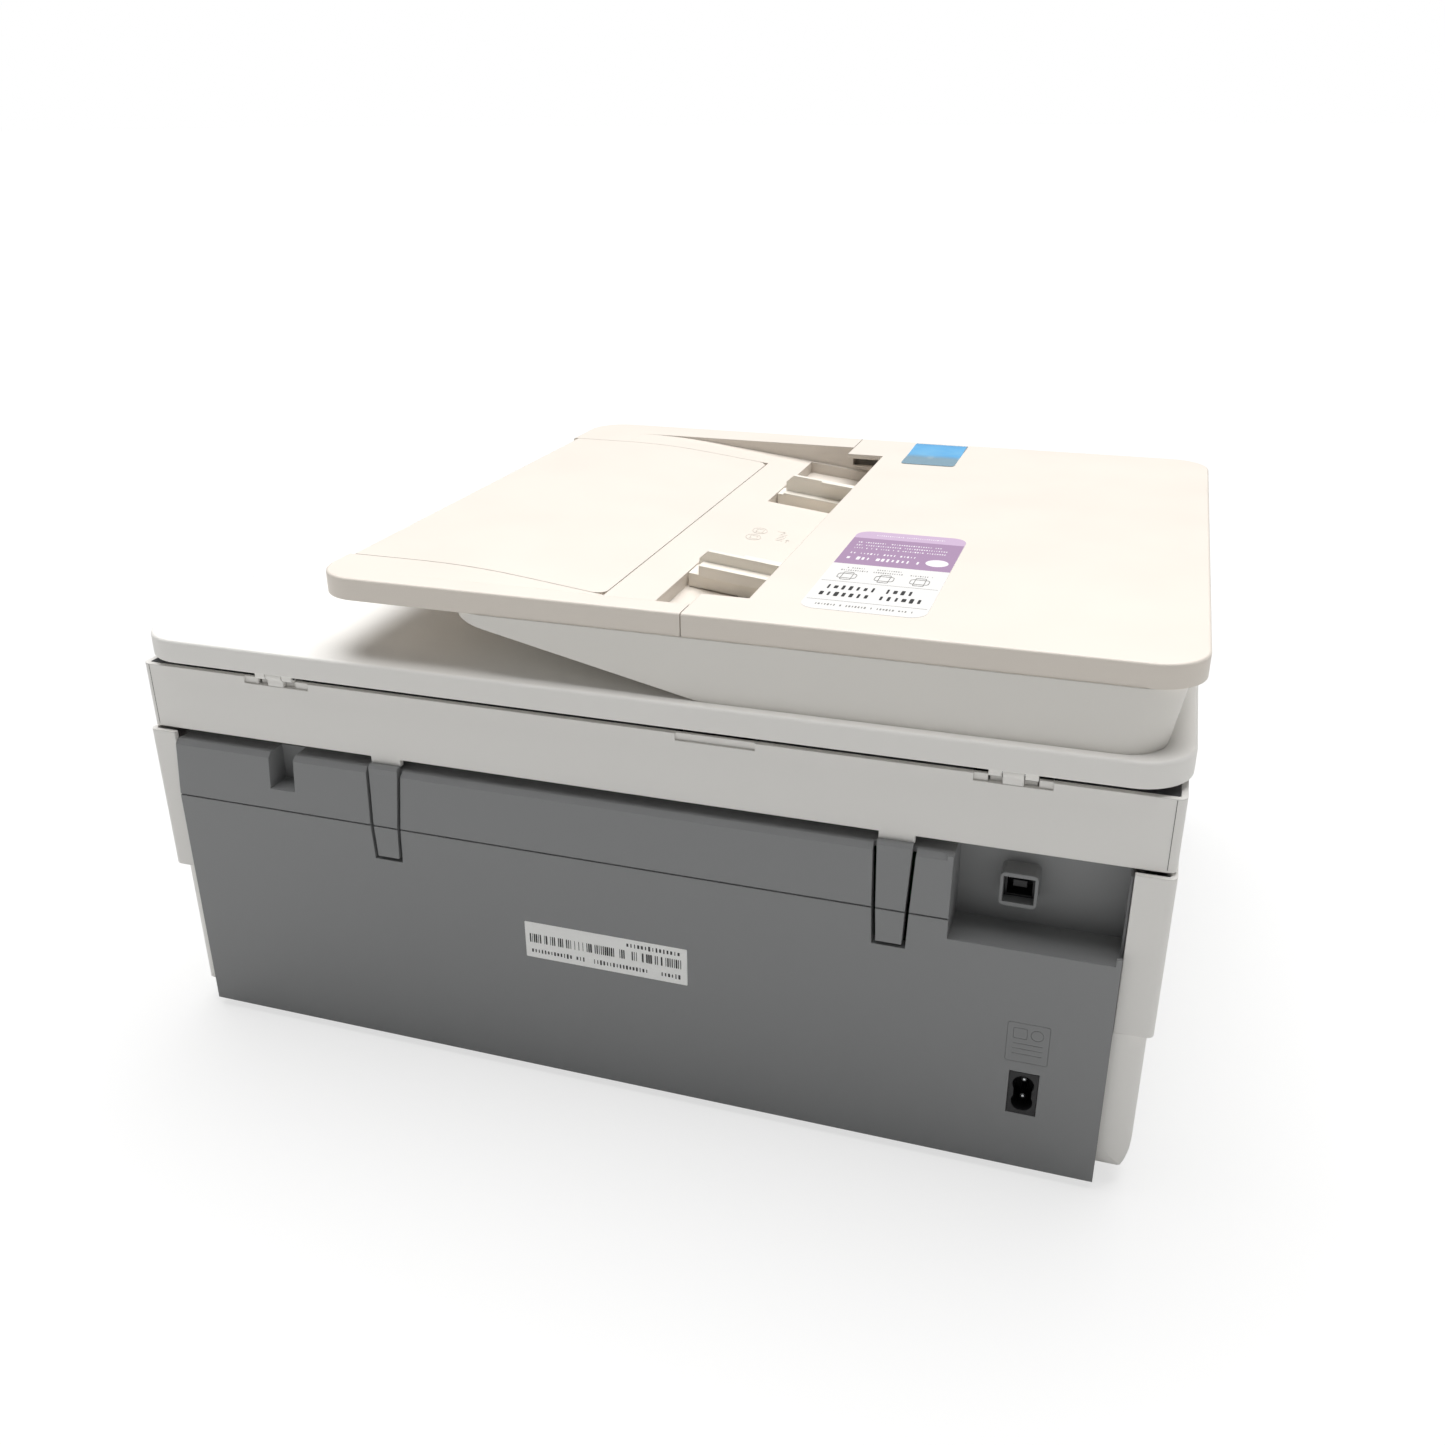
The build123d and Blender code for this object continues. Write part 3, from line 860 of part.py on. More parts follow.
MOTOR_Y = WORKS_BACK + SHEET
with BuildPart() as motor_pulley:
    rod_y(PULLEY_X, BELT_Y - BELT_W / 2, BELT_Y + BELT_W / 2, ROD_Z, PULLEY_R)
    rod_y(PULLEY_X, BELT_Y - BELT_W / 2 - 1.5, BELT_Y - BELT_W / 2 - 0.4, ROD_Z, PULLEY_R + 2.5)
    rod_y(PULLEY_X, BELT_Y - BELT_W / 2 - 1, MOTOR_Y + 10, ROD_Z, 1.5)
save(motor_pulley.part, "motor_pulley")

with BuildPart() as idler_pulley:
    rod_y(-PULLEY_X, BELT_Y - BELT_W / 2, BELT_Y + BELT_W / 2, ROD_Z, PULLEY_R)
    rod_y(-PULLEY_X, BELT_Y - BELT_W / 2 - 1.5, BELT_Y - BELT_W / 2 - 0.4, ROD_Z, PULLEY_R + 2.5)
    rod_y(-PULLEY_X, BELT_Y - BELT_W / 2 - 1, BELT_Y - BELT_W / 2 + 1, ROD_Z, PULLEY_R)
    rod_y(-PULLEY_X, BELT_Y - 20, BELT_Y + 20, ROD_Z, 2 + RUN, mode=Mode.SUBTRACT)
save(idler_pulley.part, "idler_pulley")

with BuildPart() as carriage_motor:
    rod_y(PULLEY_X, MOTOR_Y, MOTOR_Y + MOTOR_L, ROD_Z, MOTOR_R)
    rod_y(PULLEY_X, MOTOR_Y - 1, MOTOR_Y + 12, ROD_Z, 1.5 + RUN, mode=Mode.SUBTRACT)
save(carriage_motor.part, "carriage_motor")

with BuildPart() as feed_motor:
    rod_x(-CHEEK_X + SHEET, -CHEEK_X + SHEET + MOTOR_L, FEED_Y_SHAFT, MOTOR_Z, FEED_MOTOR_R)
    rod_x(-CHEEK_X, -CHEEK_X + SHEET + 12, FEED_Y_SHAFT, MOTOR_Z, 1.5 + RUN, mode=Mode.SUBTRACT)
save(feed_motor.part, "feed_motor")


def gear_plane(centre_y, centre_z):
    """Plane of the gear train, outside the chassis cheek."""
    return Plane((GEAR_X, centre_y, centre_z), x_dir=(0, 1, 0), z_dir=(1, 0, 0))


def paper_roller(shaft_y, radius, sleeves, phase):
    """A paper roller across the works: shaft, sleeves and its driven wheel."""
    with BuildPart() as roller:
        rod_x(GEAR_X, CHEEK_X + 3, shaft_y, SHAFT_Z, SHAFT_R)
        for x0, x1 in sleeves:
            rod_x(x0, x1, shaft_y, SHAFT_Z, radius)
        toothed(gear_plane(shaft_y, SHAFT_Z), GEAR_TEETH, GEAR_M, GEAR_W, phase)
    return roller.part


save(paper_roller(FEED_Y_SHAFT, FEED_R, [(-112, 112)], 0.0), "feed_roller")
save(paper_roller(EJECT_Y_SHAFT, EJECT_R - 0.6, [(x - 6, x + 6) for x in (-90, -45, 0, 45, 90)], 0.0),
     "eject_roller")

with BuildPart() as idler_gear:
    toothed(gear_plane(WORKS_Y, SHAFT_Z), GEAR_TEETH, GEAR_M, GEAR_W, 0.5)
    rod_x(GEAR_X - 1, GEAR_X + GEAR_W + 1, WORKS_Y, SHAFT_Z, 3 + RUN, mode=Mode.SUBTRACT)
save(idler_gear.part, "idler_gear")

with BuildPart() as motor_pinion:
    toothed(gear_plane(FEED_Y_SHAFT, MOTOR_Z), MOTOR_TEETH, GEAR_M, GEAR_W, 0.5)
    rod_x(GEAR_X, -CHEEK_X + SHEET + 10, FEED_Y_SHAFT, MOTOR_Z, 1.5)
save(motor_pinion.part, "motor_pinion")

with BuildPart() as service_sled:
    sled_z = RAIL_LOW + SHEET + 0.3
    block(PLATEN_END + 8, CHEEK_X - SHEET - 6, WORKS_Y - 18, WORKS_Y + 15, sled_z, PLATEN_TOP - 3)
    for bay in (CARRIAGE_X - 16.5, CARRIAGE_X + 16.5):
        block(bay - 10, bay + 10, WORKS_Y - 14, WORKS_Y + 6, PLATEN_TOP - 4, PLATEN_TOP)
        block(bay - 8, bay + 8, WORKS_Y - 12, WORKS_Y + 4, PLATEN_TOP - 1.5, PLATEN_TOP + 1, mode=Mode.SUBTRACT)
        block(bay - 10, bay + 10, WORKS_Y + 9, WORKS_Y + 10.5, PLATEN_TOP - 4, PLATEN_TOP + 1.5)
save(service_sled.part, "service_sled")

# =============================================================== paper tray
TRAY_BACK = FRONT + TRAY_LEN
with BuildPart() as paper_tray:
    block(-TRAY_X, TRAY_X, FRONT, TRAY_BACK, TRAY_LOW, TRAY_TOP)
    block(-TRAY_X + WALL, TRAY_X - WALL, FRONT + 4, TRAY_BACK - WALL, TRAY_LOW + WALL, TRAY_TOP + 1,
          mode=Mode.SUBTRACT)
    # dip in the front for a thumb, and slots that the two guides run in
    with BuildSketch(Plane.XZ.offset(-(FRONT + 5))):
        with Locations((0, TRAY_TOP)):
            Ellipse(34, 13)
    extrude(amount=6, mode=Mode.SUBTRACT)
    block(STACK_HALF - 40, STACK_HALF + 9, FRONT + 60, FRONT + 72, TRAY_LOW - 1, TRAY_LOW + WALL + 1, mode=Mode.SUBTRACT)
    block(-6, 6, FRONT + 20, FRONT + 120, TRAY_LOW - 1, TRAY_LOW + WALL + 1, mode=Mode.SUBTRACT)
    # bearers of the output tray
    for side in (-1, 1):
        x0, x1 = sorted((side * (TRAY_X - 12), side * TRAY_X))
        block(x0, x1, FRONT + 20, FRONT + 20 + OUT_LEN, TRAY_TOP - 3, OUT_Z - GAP)
save(paper_tray.part, "paper_tray")

with BuildPart() as width_guide:
    block(STACK_HALF, STACK_HALF + 3, FRONT + 30, FRONT + 130, TRAY_LOW + WALL + GAP, TRAY_TOP - 4)
    block(STACK_HALF - 14, STACK_HALF + 3, FRONT + 50, FRONT + 82, TRAY_LOW + WALL + GAP, TRAY_LOW + WALL + 2)
    block(STACK_HALF - 4, STACK_HALF + 2, FRONT + 60 + GAP, FRONT + 72 - GAP, TRAY_LOW + 0.6, TRAY_LOW + WALL + 1)
save(width_guide.part, "width_guide")

with BuildPart() as length_guide:
    block(-22, 22, FRONT + 15, FRONT + 18, TRAY_LOW + WALL + GAP, TRAY_TOP - 14)
    block(-22, 22, FRONT + 18, FRONT + 42, TRAY_LOW + WALL + GAP, TRAY_LOW + WALL + 2)
    block(-6 + GAP, 6 - GAP, FRONT + 22, FRONT + 36, TRAY_LOW + 0.6, TRAY_LOW + WALL + 1)
save(length_guide.part, "length_guide")

with BuildPart() as output_tray:
    rounded(-TRAY_X + 2, TRAY_X - 2, FRONT + 6, FRONT + 6 + OUT_LEN + 20, OUT_Z, OUT_Z + OUT_T, 8)
    # paper stop at its front edge, with a dip for a thumb
    block(-36, 36, FRONT + 6, FRONT + 9, OUT_Z, OUT_Z + OUT_T + 5)
    with BuildSketch(Plane.XY.offset(OUT_Z - 1)):
        with Locations((0, FRONT + 6)):
            Ellipse(18, 14)
    extrude(amount=OUT_T + 10, mode=Mode.SUBTRACT)
save(output_tray.part, "output_tray")

# =============================================================== front covers and controls
with BuildPart() as ink_door:
    with BuildSketch(Plane.XZ.offset(-(FRONT + DOOR_T))):
        with Locations((0, DOOR_LOW + DOOR_H / 2)):
            RectangleRounded(2 * DOOR_X, DOOR_H, 3)
    extrude(amount=DOOR_T)
    rod_x(-DOOR_X - 3, DOOR_X + 3, FRONT + 2.0, DOOR_LOW + 1.5, 1.2)
    # finger dip at its top edge
    with BuildSketch(Plane.XZ.offset(-(FRONT + 1.2))):
        with Locations((0, DOOR_LOW + DOOR_H)):
            Ellipse(26, 8)
    extrude(amount=3, mode=Mode.SUBTRACT)
save(ink_door.part, "ink_door")

PANEL_BACK = FRONT + PANEL_D
FACE_TOP = (PANEL_BACK - PANEL_TOP_D, BAND_TOP)
FACE_LOW = (FRONT, PANEL_LOW + PANEL_FACE_H)
FACE_ANGLE = atan((FACE_TOP[1] - FACE_LOW[1]) / (FACE_TOP[0] - FACE_LOW[0]))
FACE_NORMAL = (0, -sin(FACE_ANGLE), cos(FACE_ANGLE))
FACE_MIDDLE = (0, (FACE_TOP[0] + FACE_LOW[0]) / 2, (FACE_TOP[1] + FACE_LOW[1]) / 2)
FACE_PLANE = Plane(FACE_MIDDLE, x_dir=(1, 0, 0), z_dir=FACE_NORMAL)
DISPLAY_W, DISPLAY_H, DISPLAY_T = 74.0, 34.0, 1.4
BUTTON_R, BUTTON_H, BUTTON_STAND = 5.5, 4.6, 1.0
BUTTON_XS = {"power_button": -HALF + 36, "start_button": 96.0, "stop_button": 118.0}

with BuildPart() as control_panel:
    outline = [(PANEL_BACK, BAND_TOP - 12), (PANEL_BACK, BAND_TOP), FACE_TOP, FACE_LOW, (FRONT, PANEL_LOW),
               (FRONT + 14, PANEL_LOW), (FRONT + 14, PANEL_LOW + WALL), (FRONT + WALL, PANEL_LOW + WALL),
               (FRONT + WALL, FACE_LOW[1] - 1.0), (FACE_TOP[0] + 1.0, BAND_TOP - WALL),
               (PANEL_BACK - 1.2, BAND_TOP - WALL), (PANEL_BACK - 1.2, BAND_TOP - 12)]
    hinge_y = PANEL_BACK - PANEL_HINGE_IN
    hinge_z = BAND_TOP - PANEL_HINGE_DOWN
    along_x(outline[3:10] + [FACE_TOP], -SIDE_X, SIDE_X)
    along_x([FACE_TOP, (FACE_TOP[0] + 1.0, BAND_TOP - WALL), (PANEL_BACK, BAND_TOP - WALL), (PANEL_BACK, BAND_TOP)],
            -SIDE_X, SIDE_X)
    # end walls
    for side in (-1, 1):
        x0, x1 = sorted((side * (SIDE_X - WALL), side * SIDE_X))
        along_x([FACE_LOW, FACE_TOP, (PANEL_BACK, BAND_TOP), (PANEL_BACK, BODY_TOP + 1), (PANEL_BACK - 4, PANEL_LOW),
                 (FRONT, PANEL_LOW)], x0, x1)
        # ears and stub pins beside the scanner's ears
        ear_x = side * (HALF - 60)
        for hand in (-1, 1):
            inner, outer = ear_x + hand * (3 + GAP), ear_x + hand * (3 + GAP + 4)
            x0, x1 = sorted((inner, outer))
            block(x0, x1, hinge_y - 1.8, hinge_y + 1.2, hinge_z - 1.6, BAND_TOP - WALL + 0.5)
        rod_x(ear_x - 3 - GAP - 1, ear_x + 3 + GAP + 1, hinge_y, hinge_z, 1.0)
    # seat of the display, and the buttons' holes
    with BuildSketch(FACE_PLANE):
        RectangleRounded(DISPLAY_W + 2 * FIT, DISPLAY_H + 2 * FIT, 2.5)
    extrude(amount=-DISPLAY_T, mode=Mode.SUBTRACT)
    with BuildSketch(FACE_PLANE):
        with Locations(*[(button_x, 0) for button_x in BUTTON_XS.values()]):
            Circle(BUTTON_R + GAP)
    extrude(amount=-8, mode=Mode.SUBTRACT)
    # carrier behind the buttons
    for button_x in BUTTON_XS.values():
        with BuildSketch(FACE_PLANE.offset(-BUTTON_H - 0.5 + BUTTON_STAND - 2)):
            with Locations((button_x, 0)):
                Rectangle(30, 16)
        extrude(amount=1.5)
        with BuildSketch(FACE_PLANE.offset(-BUTTON_H - 0.5 + BUTTON_STAND - 2)):
            with Locations((button_x - 13, 0), (button_x + 13, 0)):
                Rectangle(3, 16)
        extrude(amount=BUTTON_H + 0.8 - BUTTON_STAND)
save(control_panel.part, "control_panel")

with BuildPart() as display:
    with BuildSketch(FACE_PLANE.offset(-DISPLAY_T)):
        RectangleRounded(DISPLAY_W, DISPLAY_H, 2.3)
    extrude(amount=DISPLAY_T + 0.2)
save(display.part, "display")

for node, button_x in BUTTON_XS.items():
    with BuildPart() as button:
        with BuildSketch(FACE_PLANE.offset(BUTTON_STAND - BUTTON_H + 0.3)):
            with Locations((button_x, 0)):
                Circle(BUTTON_R)
        extrude(amount=BUTTON_H - 0.3)
    save(button.part, node)

print(f"{WIDTH:.1f} x {DEPTH:.1f} x {HEIGHT:.1f} mm")
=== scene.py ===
# %% [markdown]
# # An inkjet all-in-one seen from behind
# The printer's frame comes from CAD: sixty named pieces, each riding on the body that
# carries it. This lesson gives those pieces their finishes and adds what is too small
# for CAD: labels, printed symbols, contact pins, ribs, belt teeth and seams.
# Loading the frame first means that every position below can be read from a CAD piece.

# %% Load the frame
from math import cos, pi, radians, sin

import bmesh
import bpy
from mathutils import Matrix, Vector


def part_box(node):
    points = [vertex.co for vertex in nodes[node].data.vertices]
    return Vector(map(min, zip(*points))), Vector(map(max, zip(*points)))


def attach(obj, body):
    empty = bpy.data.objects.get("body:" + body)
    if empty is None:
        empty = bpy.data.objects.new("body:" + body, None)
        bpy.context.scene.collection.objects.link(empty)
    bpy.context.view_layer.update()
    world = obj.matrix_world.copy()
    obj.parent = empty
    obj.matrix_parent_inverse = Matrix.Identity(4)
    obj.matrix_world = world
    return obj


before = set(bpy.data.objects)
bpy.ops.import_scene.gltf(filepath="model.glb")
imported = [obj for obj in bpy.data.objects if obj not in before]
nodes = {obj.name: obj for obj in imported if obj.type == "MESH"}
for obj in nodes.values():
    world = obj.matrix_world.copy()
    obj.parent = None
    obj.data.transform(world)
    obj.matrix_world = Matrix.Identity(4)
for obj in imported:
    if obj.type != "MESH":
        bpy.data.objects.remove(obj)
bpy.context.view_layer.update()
mm = 0.001

# %% [markdown]
# ## Camera
# A small studio shot is taken with a fairly wide lens from just above the printer, on its
# data-socket side. The three axes of the camera are built from its line of sight, because
# a matrix is easier to check than three angles.

# %% Camera
sight = Vector((0.2834, -0.8675, -0.4088)).normalized()
level = sight.cross(Vector((0, 0, 1))).normalized()
upright = level.cross(sight)
roll = radians(-0.29)
right = cos(roll) * level + sin(roll) * upright
upward = cos(roll) * upright - sin(roll) * level
eye = bpy.data.objects.new("studio_camera", bpy.data.cameras.new("studio_camera"))
eye.data.lens, eye.data.sensor_width = 33.52, 36.0
eye.matrix_world = Matrix.Translation((-0.2039, 0.6515, 0.4095)) @ Matrix(
    (right, upward, -sight)).transposed().to_4x4()
bpy.context.collection.objects.link(eye)
bpy.context.scene.camera = eye
print("camera at", tuple(round(v, 3) for v in eye.location))

# %% [markdown]
# ## Colours and nodes
# Colours are picked as sRGB hex values, as a paint chart gives them, but shader nodes
# work in linear light, so one function turns them. Another adds a node to a tree, with
# its settings, values and links, and everything after this is built with it.

# %% Helpers for colours and nodes
def linear(code, alpha=1.0):
    """A colour such as "#E9E8E3" as linear red, green, blue and alpha."""
    parts = [int(code[i:i + 2], 16) / 255 for i in (1, 3, 5)]
    return tuple(c / 12.92 if c < 0.04045 else ((c + 0.055) / 1.055) ** 2.4 for c in parts) + (alpha,)


def add(tree, kind, inputs=(), **settings):
    """Add one node; inputs maps a socket's name or number to a value or to another node's output."""
    node = tree.nodes.new(kind)
    for key, value in settings.items():
        setattr(node, key, value)
    for key, value in dict(inputs).items():
        if isinstance(value, bpy.types.NodeSocket):
            tree.links.new(value, node.inputs[key])
        else:
            node.inputs[key].default_value = value
    return node


print("white shell in linear light:", tuple(round(c, 3) for c in linear("#E9E8E3")))

# %% [markdown]
# ## Studio
# The printer stands on a broad pale sheet, under a very wide soft light far above, which
# falls evenly on all of the sheet, as a studio's ceiling of lamps does. Its tops are almost
# white, and its back is lit only by the sheet and the dim room. A few area lamps would
# leave pools of light on so large a sheet, so one very wide sun is used instead. The room looks white to
# the camera and is much dimmer as a light. The sheet is also lit from below, as a light
# table is, which washes its shadow out; only the camera sees that glow.

# %% Floor
SHEET_CORNERS = ((-60, -90, 0), (60, -90, 0), (60, 60, 0), (-60, 60, 0))     # metres
floor_mesh = bpy.data.meshes.new("studio_floor")
floor_mesh.from_pydata(SHEET_CORNERS, [], [(0, 1, 2, 3)])
floor = bpy.data.objects.new("studio_floor", floor_mesh)
bpy.context.collection.objects.link(floor)
paper = bpy.data.materials.new("studio paper, matt")
paper.use_nodes = True
paper.node_tree.nodes.clear()
sheet_grain = add(paper.node_tree, "ShaderNodeTexNoise", {"Scale": 900.0, "Detail": 2.0})
sheet_bump = add(paper.node_tree, "ShaderNodeBump",
                 {"Height": sheet_grain.outputs[0], "Strength": 0.1, "Distance": 0.0002})
sheet_surface = add(paper.node_tree, "ShaderNodeBsdfPrincipled",
                    {"Base Color": linear("#D6D6D5"), "Roughness": 0.9, "Specular IOR Level": 0.1,
                     "Normal": sheet_bump.outputs[0]})
sheet_glow = add(paper.node_tree, "ShaderNodeEmission", {"Color": (1, 1, 1, 1), "Strength": 1.12})
glow_share = add(paper.node_tree, "ShaderNodeMath", {
    0: add(paper.node_tree, "ShaderNodeLightPath").outputs["Is Camera Ray"], 1: 0.6}, operation="MULTIPLY")
sheet_seen = add(paper.node_tree, "ShaderNodeMixShader",
                 {0: glow_share.outputs[0], 1: sheet_surface.outputs[0], 2: sheet_glow.outputs[0]})
add(paper.node_tree, "ShaderNodeOutputMaterial", {"Surface": sheet_seen.outputs[0]})
floor_mesh.materials.append(paper)
print("floor of", len(floor_mesh.polygons), "face")

# %% Soft light and room
lamp = bpy.data.objects.new("soft_light", bpy.data.lights.new("soft_light", "SUN"))
lamp.data.energy, lamp.data.angle = 3.95, radians(60)
lamp.rotation_euler = (radians(16), radians(5), 0)
bpy.context.collection.objects.link(lamp)

room = bpy.data.worlds.new("white room")
bpy.context.scene.world = room
room.use_nodes = True
room.node_tree.nodes.clear()
ray = add(room.node_tree, "ShaderNodeLightPath")
dim = add(room.node_tree, "ShaderNodeBackground", {"Color": (1, 1, 1, 1), "Strength": 0.2})
seen = add(room.node_tree, "ShaderNodeBackground", {"Color": (1, 1, 1, 1), "Strength": 1.0})
either = add(room.node_tree, "ShaderNodeMixShader",
             {0: ray.outputs["Is Camera Ray"], 1: dim.outputs[0], 2: seen.outputs[0]})
add(room.node_tree, "ShaderNodeOutputWorld", {"Surface": either.outputs[0]})
bpy.context.scene.view_settings.view_transform = "Standard"
print("light of", round(lamp.data.energy, 2), "W per square metre")

# %% [markdown]
# ## Moulded plastic
# Every shell is high-impact polystyrene or ABS shot into a steel mould. The mould's face
# is spark-eroded, which leaves a fine pebbled grain, and its sharp corners are eased by
# half a millimetre. The grain is noise in object space feeding a bump, and the eased
# corners come from the Bevel node, which bends the shading normal near an edge. A faint
# mottle in colour and gloss keeps large faces from looking computed.
# The real grain is about 0.3 mm, too fine to show here, so it is drawn at 0.7 mm or more.

# %% Moulded plastic
def moulded(name, code, rough, grain=0.7, depth=0.03, edge=0.6, mottle=0.02, coat=0.0):
    """Injection-moulded plastic; grain, depth and edge are in millimetres."""
    made = bpy.data.materials.new(name)
    made.use_nodes = True
    tree = made.node_tree
    tree.nodes.clear()
    place = add(tree, "ShaderNodeTexCoord").outputs["Object"]
    pebbles = add(tree, "ShaderNodeTexNoise",
                  {"Vector": place, "Scale": 1 / (grain * mm), "Detail": 3.0, "Roughness": 0.55})
    cloud = add(tree, "ShaderNodeTexNoise", {"Vector": place, "Scale": 1 / (45 * mm), "Detail": 3.0})
    low = linear(code)
    high = tuple(min(1.0, c * (1 + mottle)) for c in low[:3]) + (1.0,)
    low = tuple(c * (1 - mottle) for c in low[:3]) + (1.0,)
    colour = add(tree, "ShaderNodeMix", {0: cloud.outputs[0], 6: low, 7: high}, data_type="RGBA")
    gloss = add(tree, "ShaderNodeMapRange",
                {"Value": cloud.outputs[0], "To Min": rough - 0.05, "To Max": rough + 0.05})
    eased = add(tree, "ShaderNodeBevel", {"Radius": edge * mm}, samples=4)
    bump = add(tree, "ShaderNodeBump", {"Height": pebbles.outputs[0], "Strength": 0.6,
                                        "Distance": depth * mm, "Normal": eased.outputs[0]})
    surface = add(tree, "ShaderNodeBsdfPrincipled",
                  {"Base Color": colour.outputs[2], "Roughness": gloss.outputs[0], "IOR": 1.5,
                   "Coat Weight": coat, "Coat Roughness": 0.04, "Normal": bump.outputs[0]})
    add(tree, "ShaderNodeOutputMaterial", {"Surface": surface.outputs[0]})
    return made


white_hips = moulded("polystyrene, moulded, fine grain, white", "#F1EFEB", 0.48)
housing_hips = moulded("polystyrene, moulded, fine grain, soft white", "#E8E5DF", 0.48)
cream_hips = moulded("polystyrene, moulded, fine grain, warm white", "#E6DED4", 0.46)
grey_hips = moulded("polystyrene, moulded, coarse grain, grey", "#8D8E8F", 0.55, grain=0.9, depth=0.05)
print(len(bpy.data.materials), "materials so far")

# %% [markdown]
# ## Shades of ABS and acetal
# The guides, controls and works are ABS in smoother moulds, and the gears are acetal, which
# is slippery and slightly waxy. The same function makes them, with a shallower grain. The
# control panel is polished, so its grain is almost gone and a clear coat gives the gloss.

# %% ABS and acetal
guide_abs = moulded("ABS, moulded, satin, stone", "#F4EEE3", 0.42, grain=1.2, depth=0.015)
dark_abs = moulded("ABS, moulded, satin, charcoal", "#3A3B3E", 0.42, depth=0.025)
black_abs = moulded("ABS, moulded, satin, black", "#1D1D1F", 0.38, depth=0.02)
button_abs = moulded("ABS, moulded, polished, silver grey", "#B9BBBF", 0.3, grain=2.0, depth=0.004,
                     edge=0.4)
cartridge_abs = moulded("ABS, moulded, satin, ink black", "#232427", 0.4, depth=0.02, edge=0.4)
acetal = moulded("acetal, moulded, natural", "#E4E3DA", 0.35, grain=1.5, depth=0.008, edge=0.2)
gloss_abs = moulded("ABS, moulded, high gloss, near black", "#26272B", 0.22, grain=6.0, depth=0.004,
                    mottle=0.05, coat=0.6)
print(len(bpy.data.materials), "materials so far")

# %% [markdown]
# ## Rubber and foam
# Rubber is dark and rough, because it is moulded or ground to grip, and a stronger mottle
# gives it a dusty face. The scanner's foam pad has a smooth film over it that dips gently.
# Both take the same few nodes as plastic, so the same function serves.

# %% Rubber and foam
feet_rubber = moulded("EPDM rubber, moulded, matt", "#2B2B2C", 0.8, grain=0.5, depth=0.05, edge=0.3,
                      mottle=0.08)
belt_rubber = moulded("neoprene, moulded, toothed belt", "#262626", 0.7, grain=0.6, depth=0.03, edge=0.1)
ground_rubber = moulded("EPDM rubber, ground, roller sleeves", "#55565A", 0.85, grain=0.35, depth=0.08,
                        edge=0.2, mottle=0.1)
film_foam = moulded("foam pad under smooth film, white", "#F1F1F0", 0.3, grain=9.0, depth=0.25, edge=1.5)
print("rubbers and foam are ready")

# %% [markdown]
# ## Metal
# Sheet steel is zinc plated, which shows as a soft spangle in its roughness. Ground bars
# have fine lines along them, so the same noise is squeezed along one axis. A metal's
# colour is its reflection, so Metallic is 1 and the IOR stays as it is.

# %% Zinc-plated and turned metal
def metal(name, code, rough, spread, scale, stretch=(1, 1, 1)):
    """A metal whose roughness wanders by spread, on a pattern scale millimetres wide."""
    made = bpy.data.materials.new(name)
    made.use_nodes = True
    tree = made.node_tree
    tree.nodes.clear()
    place = add(tree, "ShaderNodeTexCoord").outputs["Object"]
    drawn = add(tree, "ShaderNodeMapping", {"Vector": place, "Scale": stretch})
    spangle = add(tree, "ShaderNodeTexNoise",
                  {"Vector": drawn.outputs[0], "Scale": 1 / (scale * mm), "Detail": 4.0})
    rough_map = add(tree, "ShaderNodeMapRange",
                    {"Value": spangle.outputs[0], "To Min": rough - spread, "To Max": rough + spread})
    eased = add(tree, "ShaderNodeBevel", {"Radius": 0.25 * mm}, samples=4)
    bump = add(tree, "ShaderNodeBump", {"Height": spangle.outputs[0], "Strength": 0.3,
                                        "Distance": 0.02 * mm, "Normal": eased.outputs[0]})
    surface = add(tree, "ShaderNodeBsdfPrincipled",
                  {"Base Color": linear(code), "Metallic": 1.0, "Roughness": rough_map.outputs[0],
                   "Normal": bump.outputs[0]})
    add(tree, "ShaderNodeOutputMaterial", {"Surface": surface.outputs[0]})
    return made


zinc_steel = metal("steel sheet, zinc plated", "#C3C5C8", 0.34, 0.1, 4.0)
ground_steel = metal("steel bar, ground", "#CFD1D4", 0.22, 0.05, 0.6, (0.05, 1, 1))
turned_brass = metal("brass, turned", "#D9B469", 0.25, 0.06, 0.5)
print("metals are ready")

# %% [markdown]
# ## Glass
# The scanner's two panes are float glass, clear with a faint green from iron. The screen is
# dark glass that lets no light through. Smears in the roughness keep both from looking
# like holes.

# %% Glass
def glassy(name, code, rough, clear):
    """Flat glass; clear is how much light goes through it."""
    made = bpy.data.materials.new(name)
    made.use_nodes = True
    tree = made.node_tree
    tree.nodes.clear()
    place = add(tree, "ShaderNodeTexCoord").outputs["Object"]
    smears = add(tree, "ShaderNodeTexNoise", {"Vector": place, "Scale": 1 / (60 * mm), "Detail": 4.0})
    rough_map = add(tree, "ShaderNodeMapRange",
                    {"Value": smears.outputs[0], "To Min": rough, "To Max": rough + 0.06})
    surface = add(tree, "ShaderNodeBsdfPrincipled",
                  {"Base Color": linear(code), "Roughness": rough_map.outputs[0], "IOR": 1.52,
                   "Transmission Weight": clear})
    add(tree, "ShaderNodeOutputMaterial", {"Surface": surface.outputs[0]})
    return made


float_glass = glassy("float glass, faint green", "#EFF8F4", 0.0, 1.0)
screen_glass = glassy("toughened glass over a dark screen", "#0B0D12", 0.04, 0.0)
print("glasses are ready")

# %% [markdown]
# ## Circuit board
# The board is glass fibre under green solder mask, with etched tracks showing through as
# lighter lines. A brick texture draws such straight lines more simply than a set of curves.

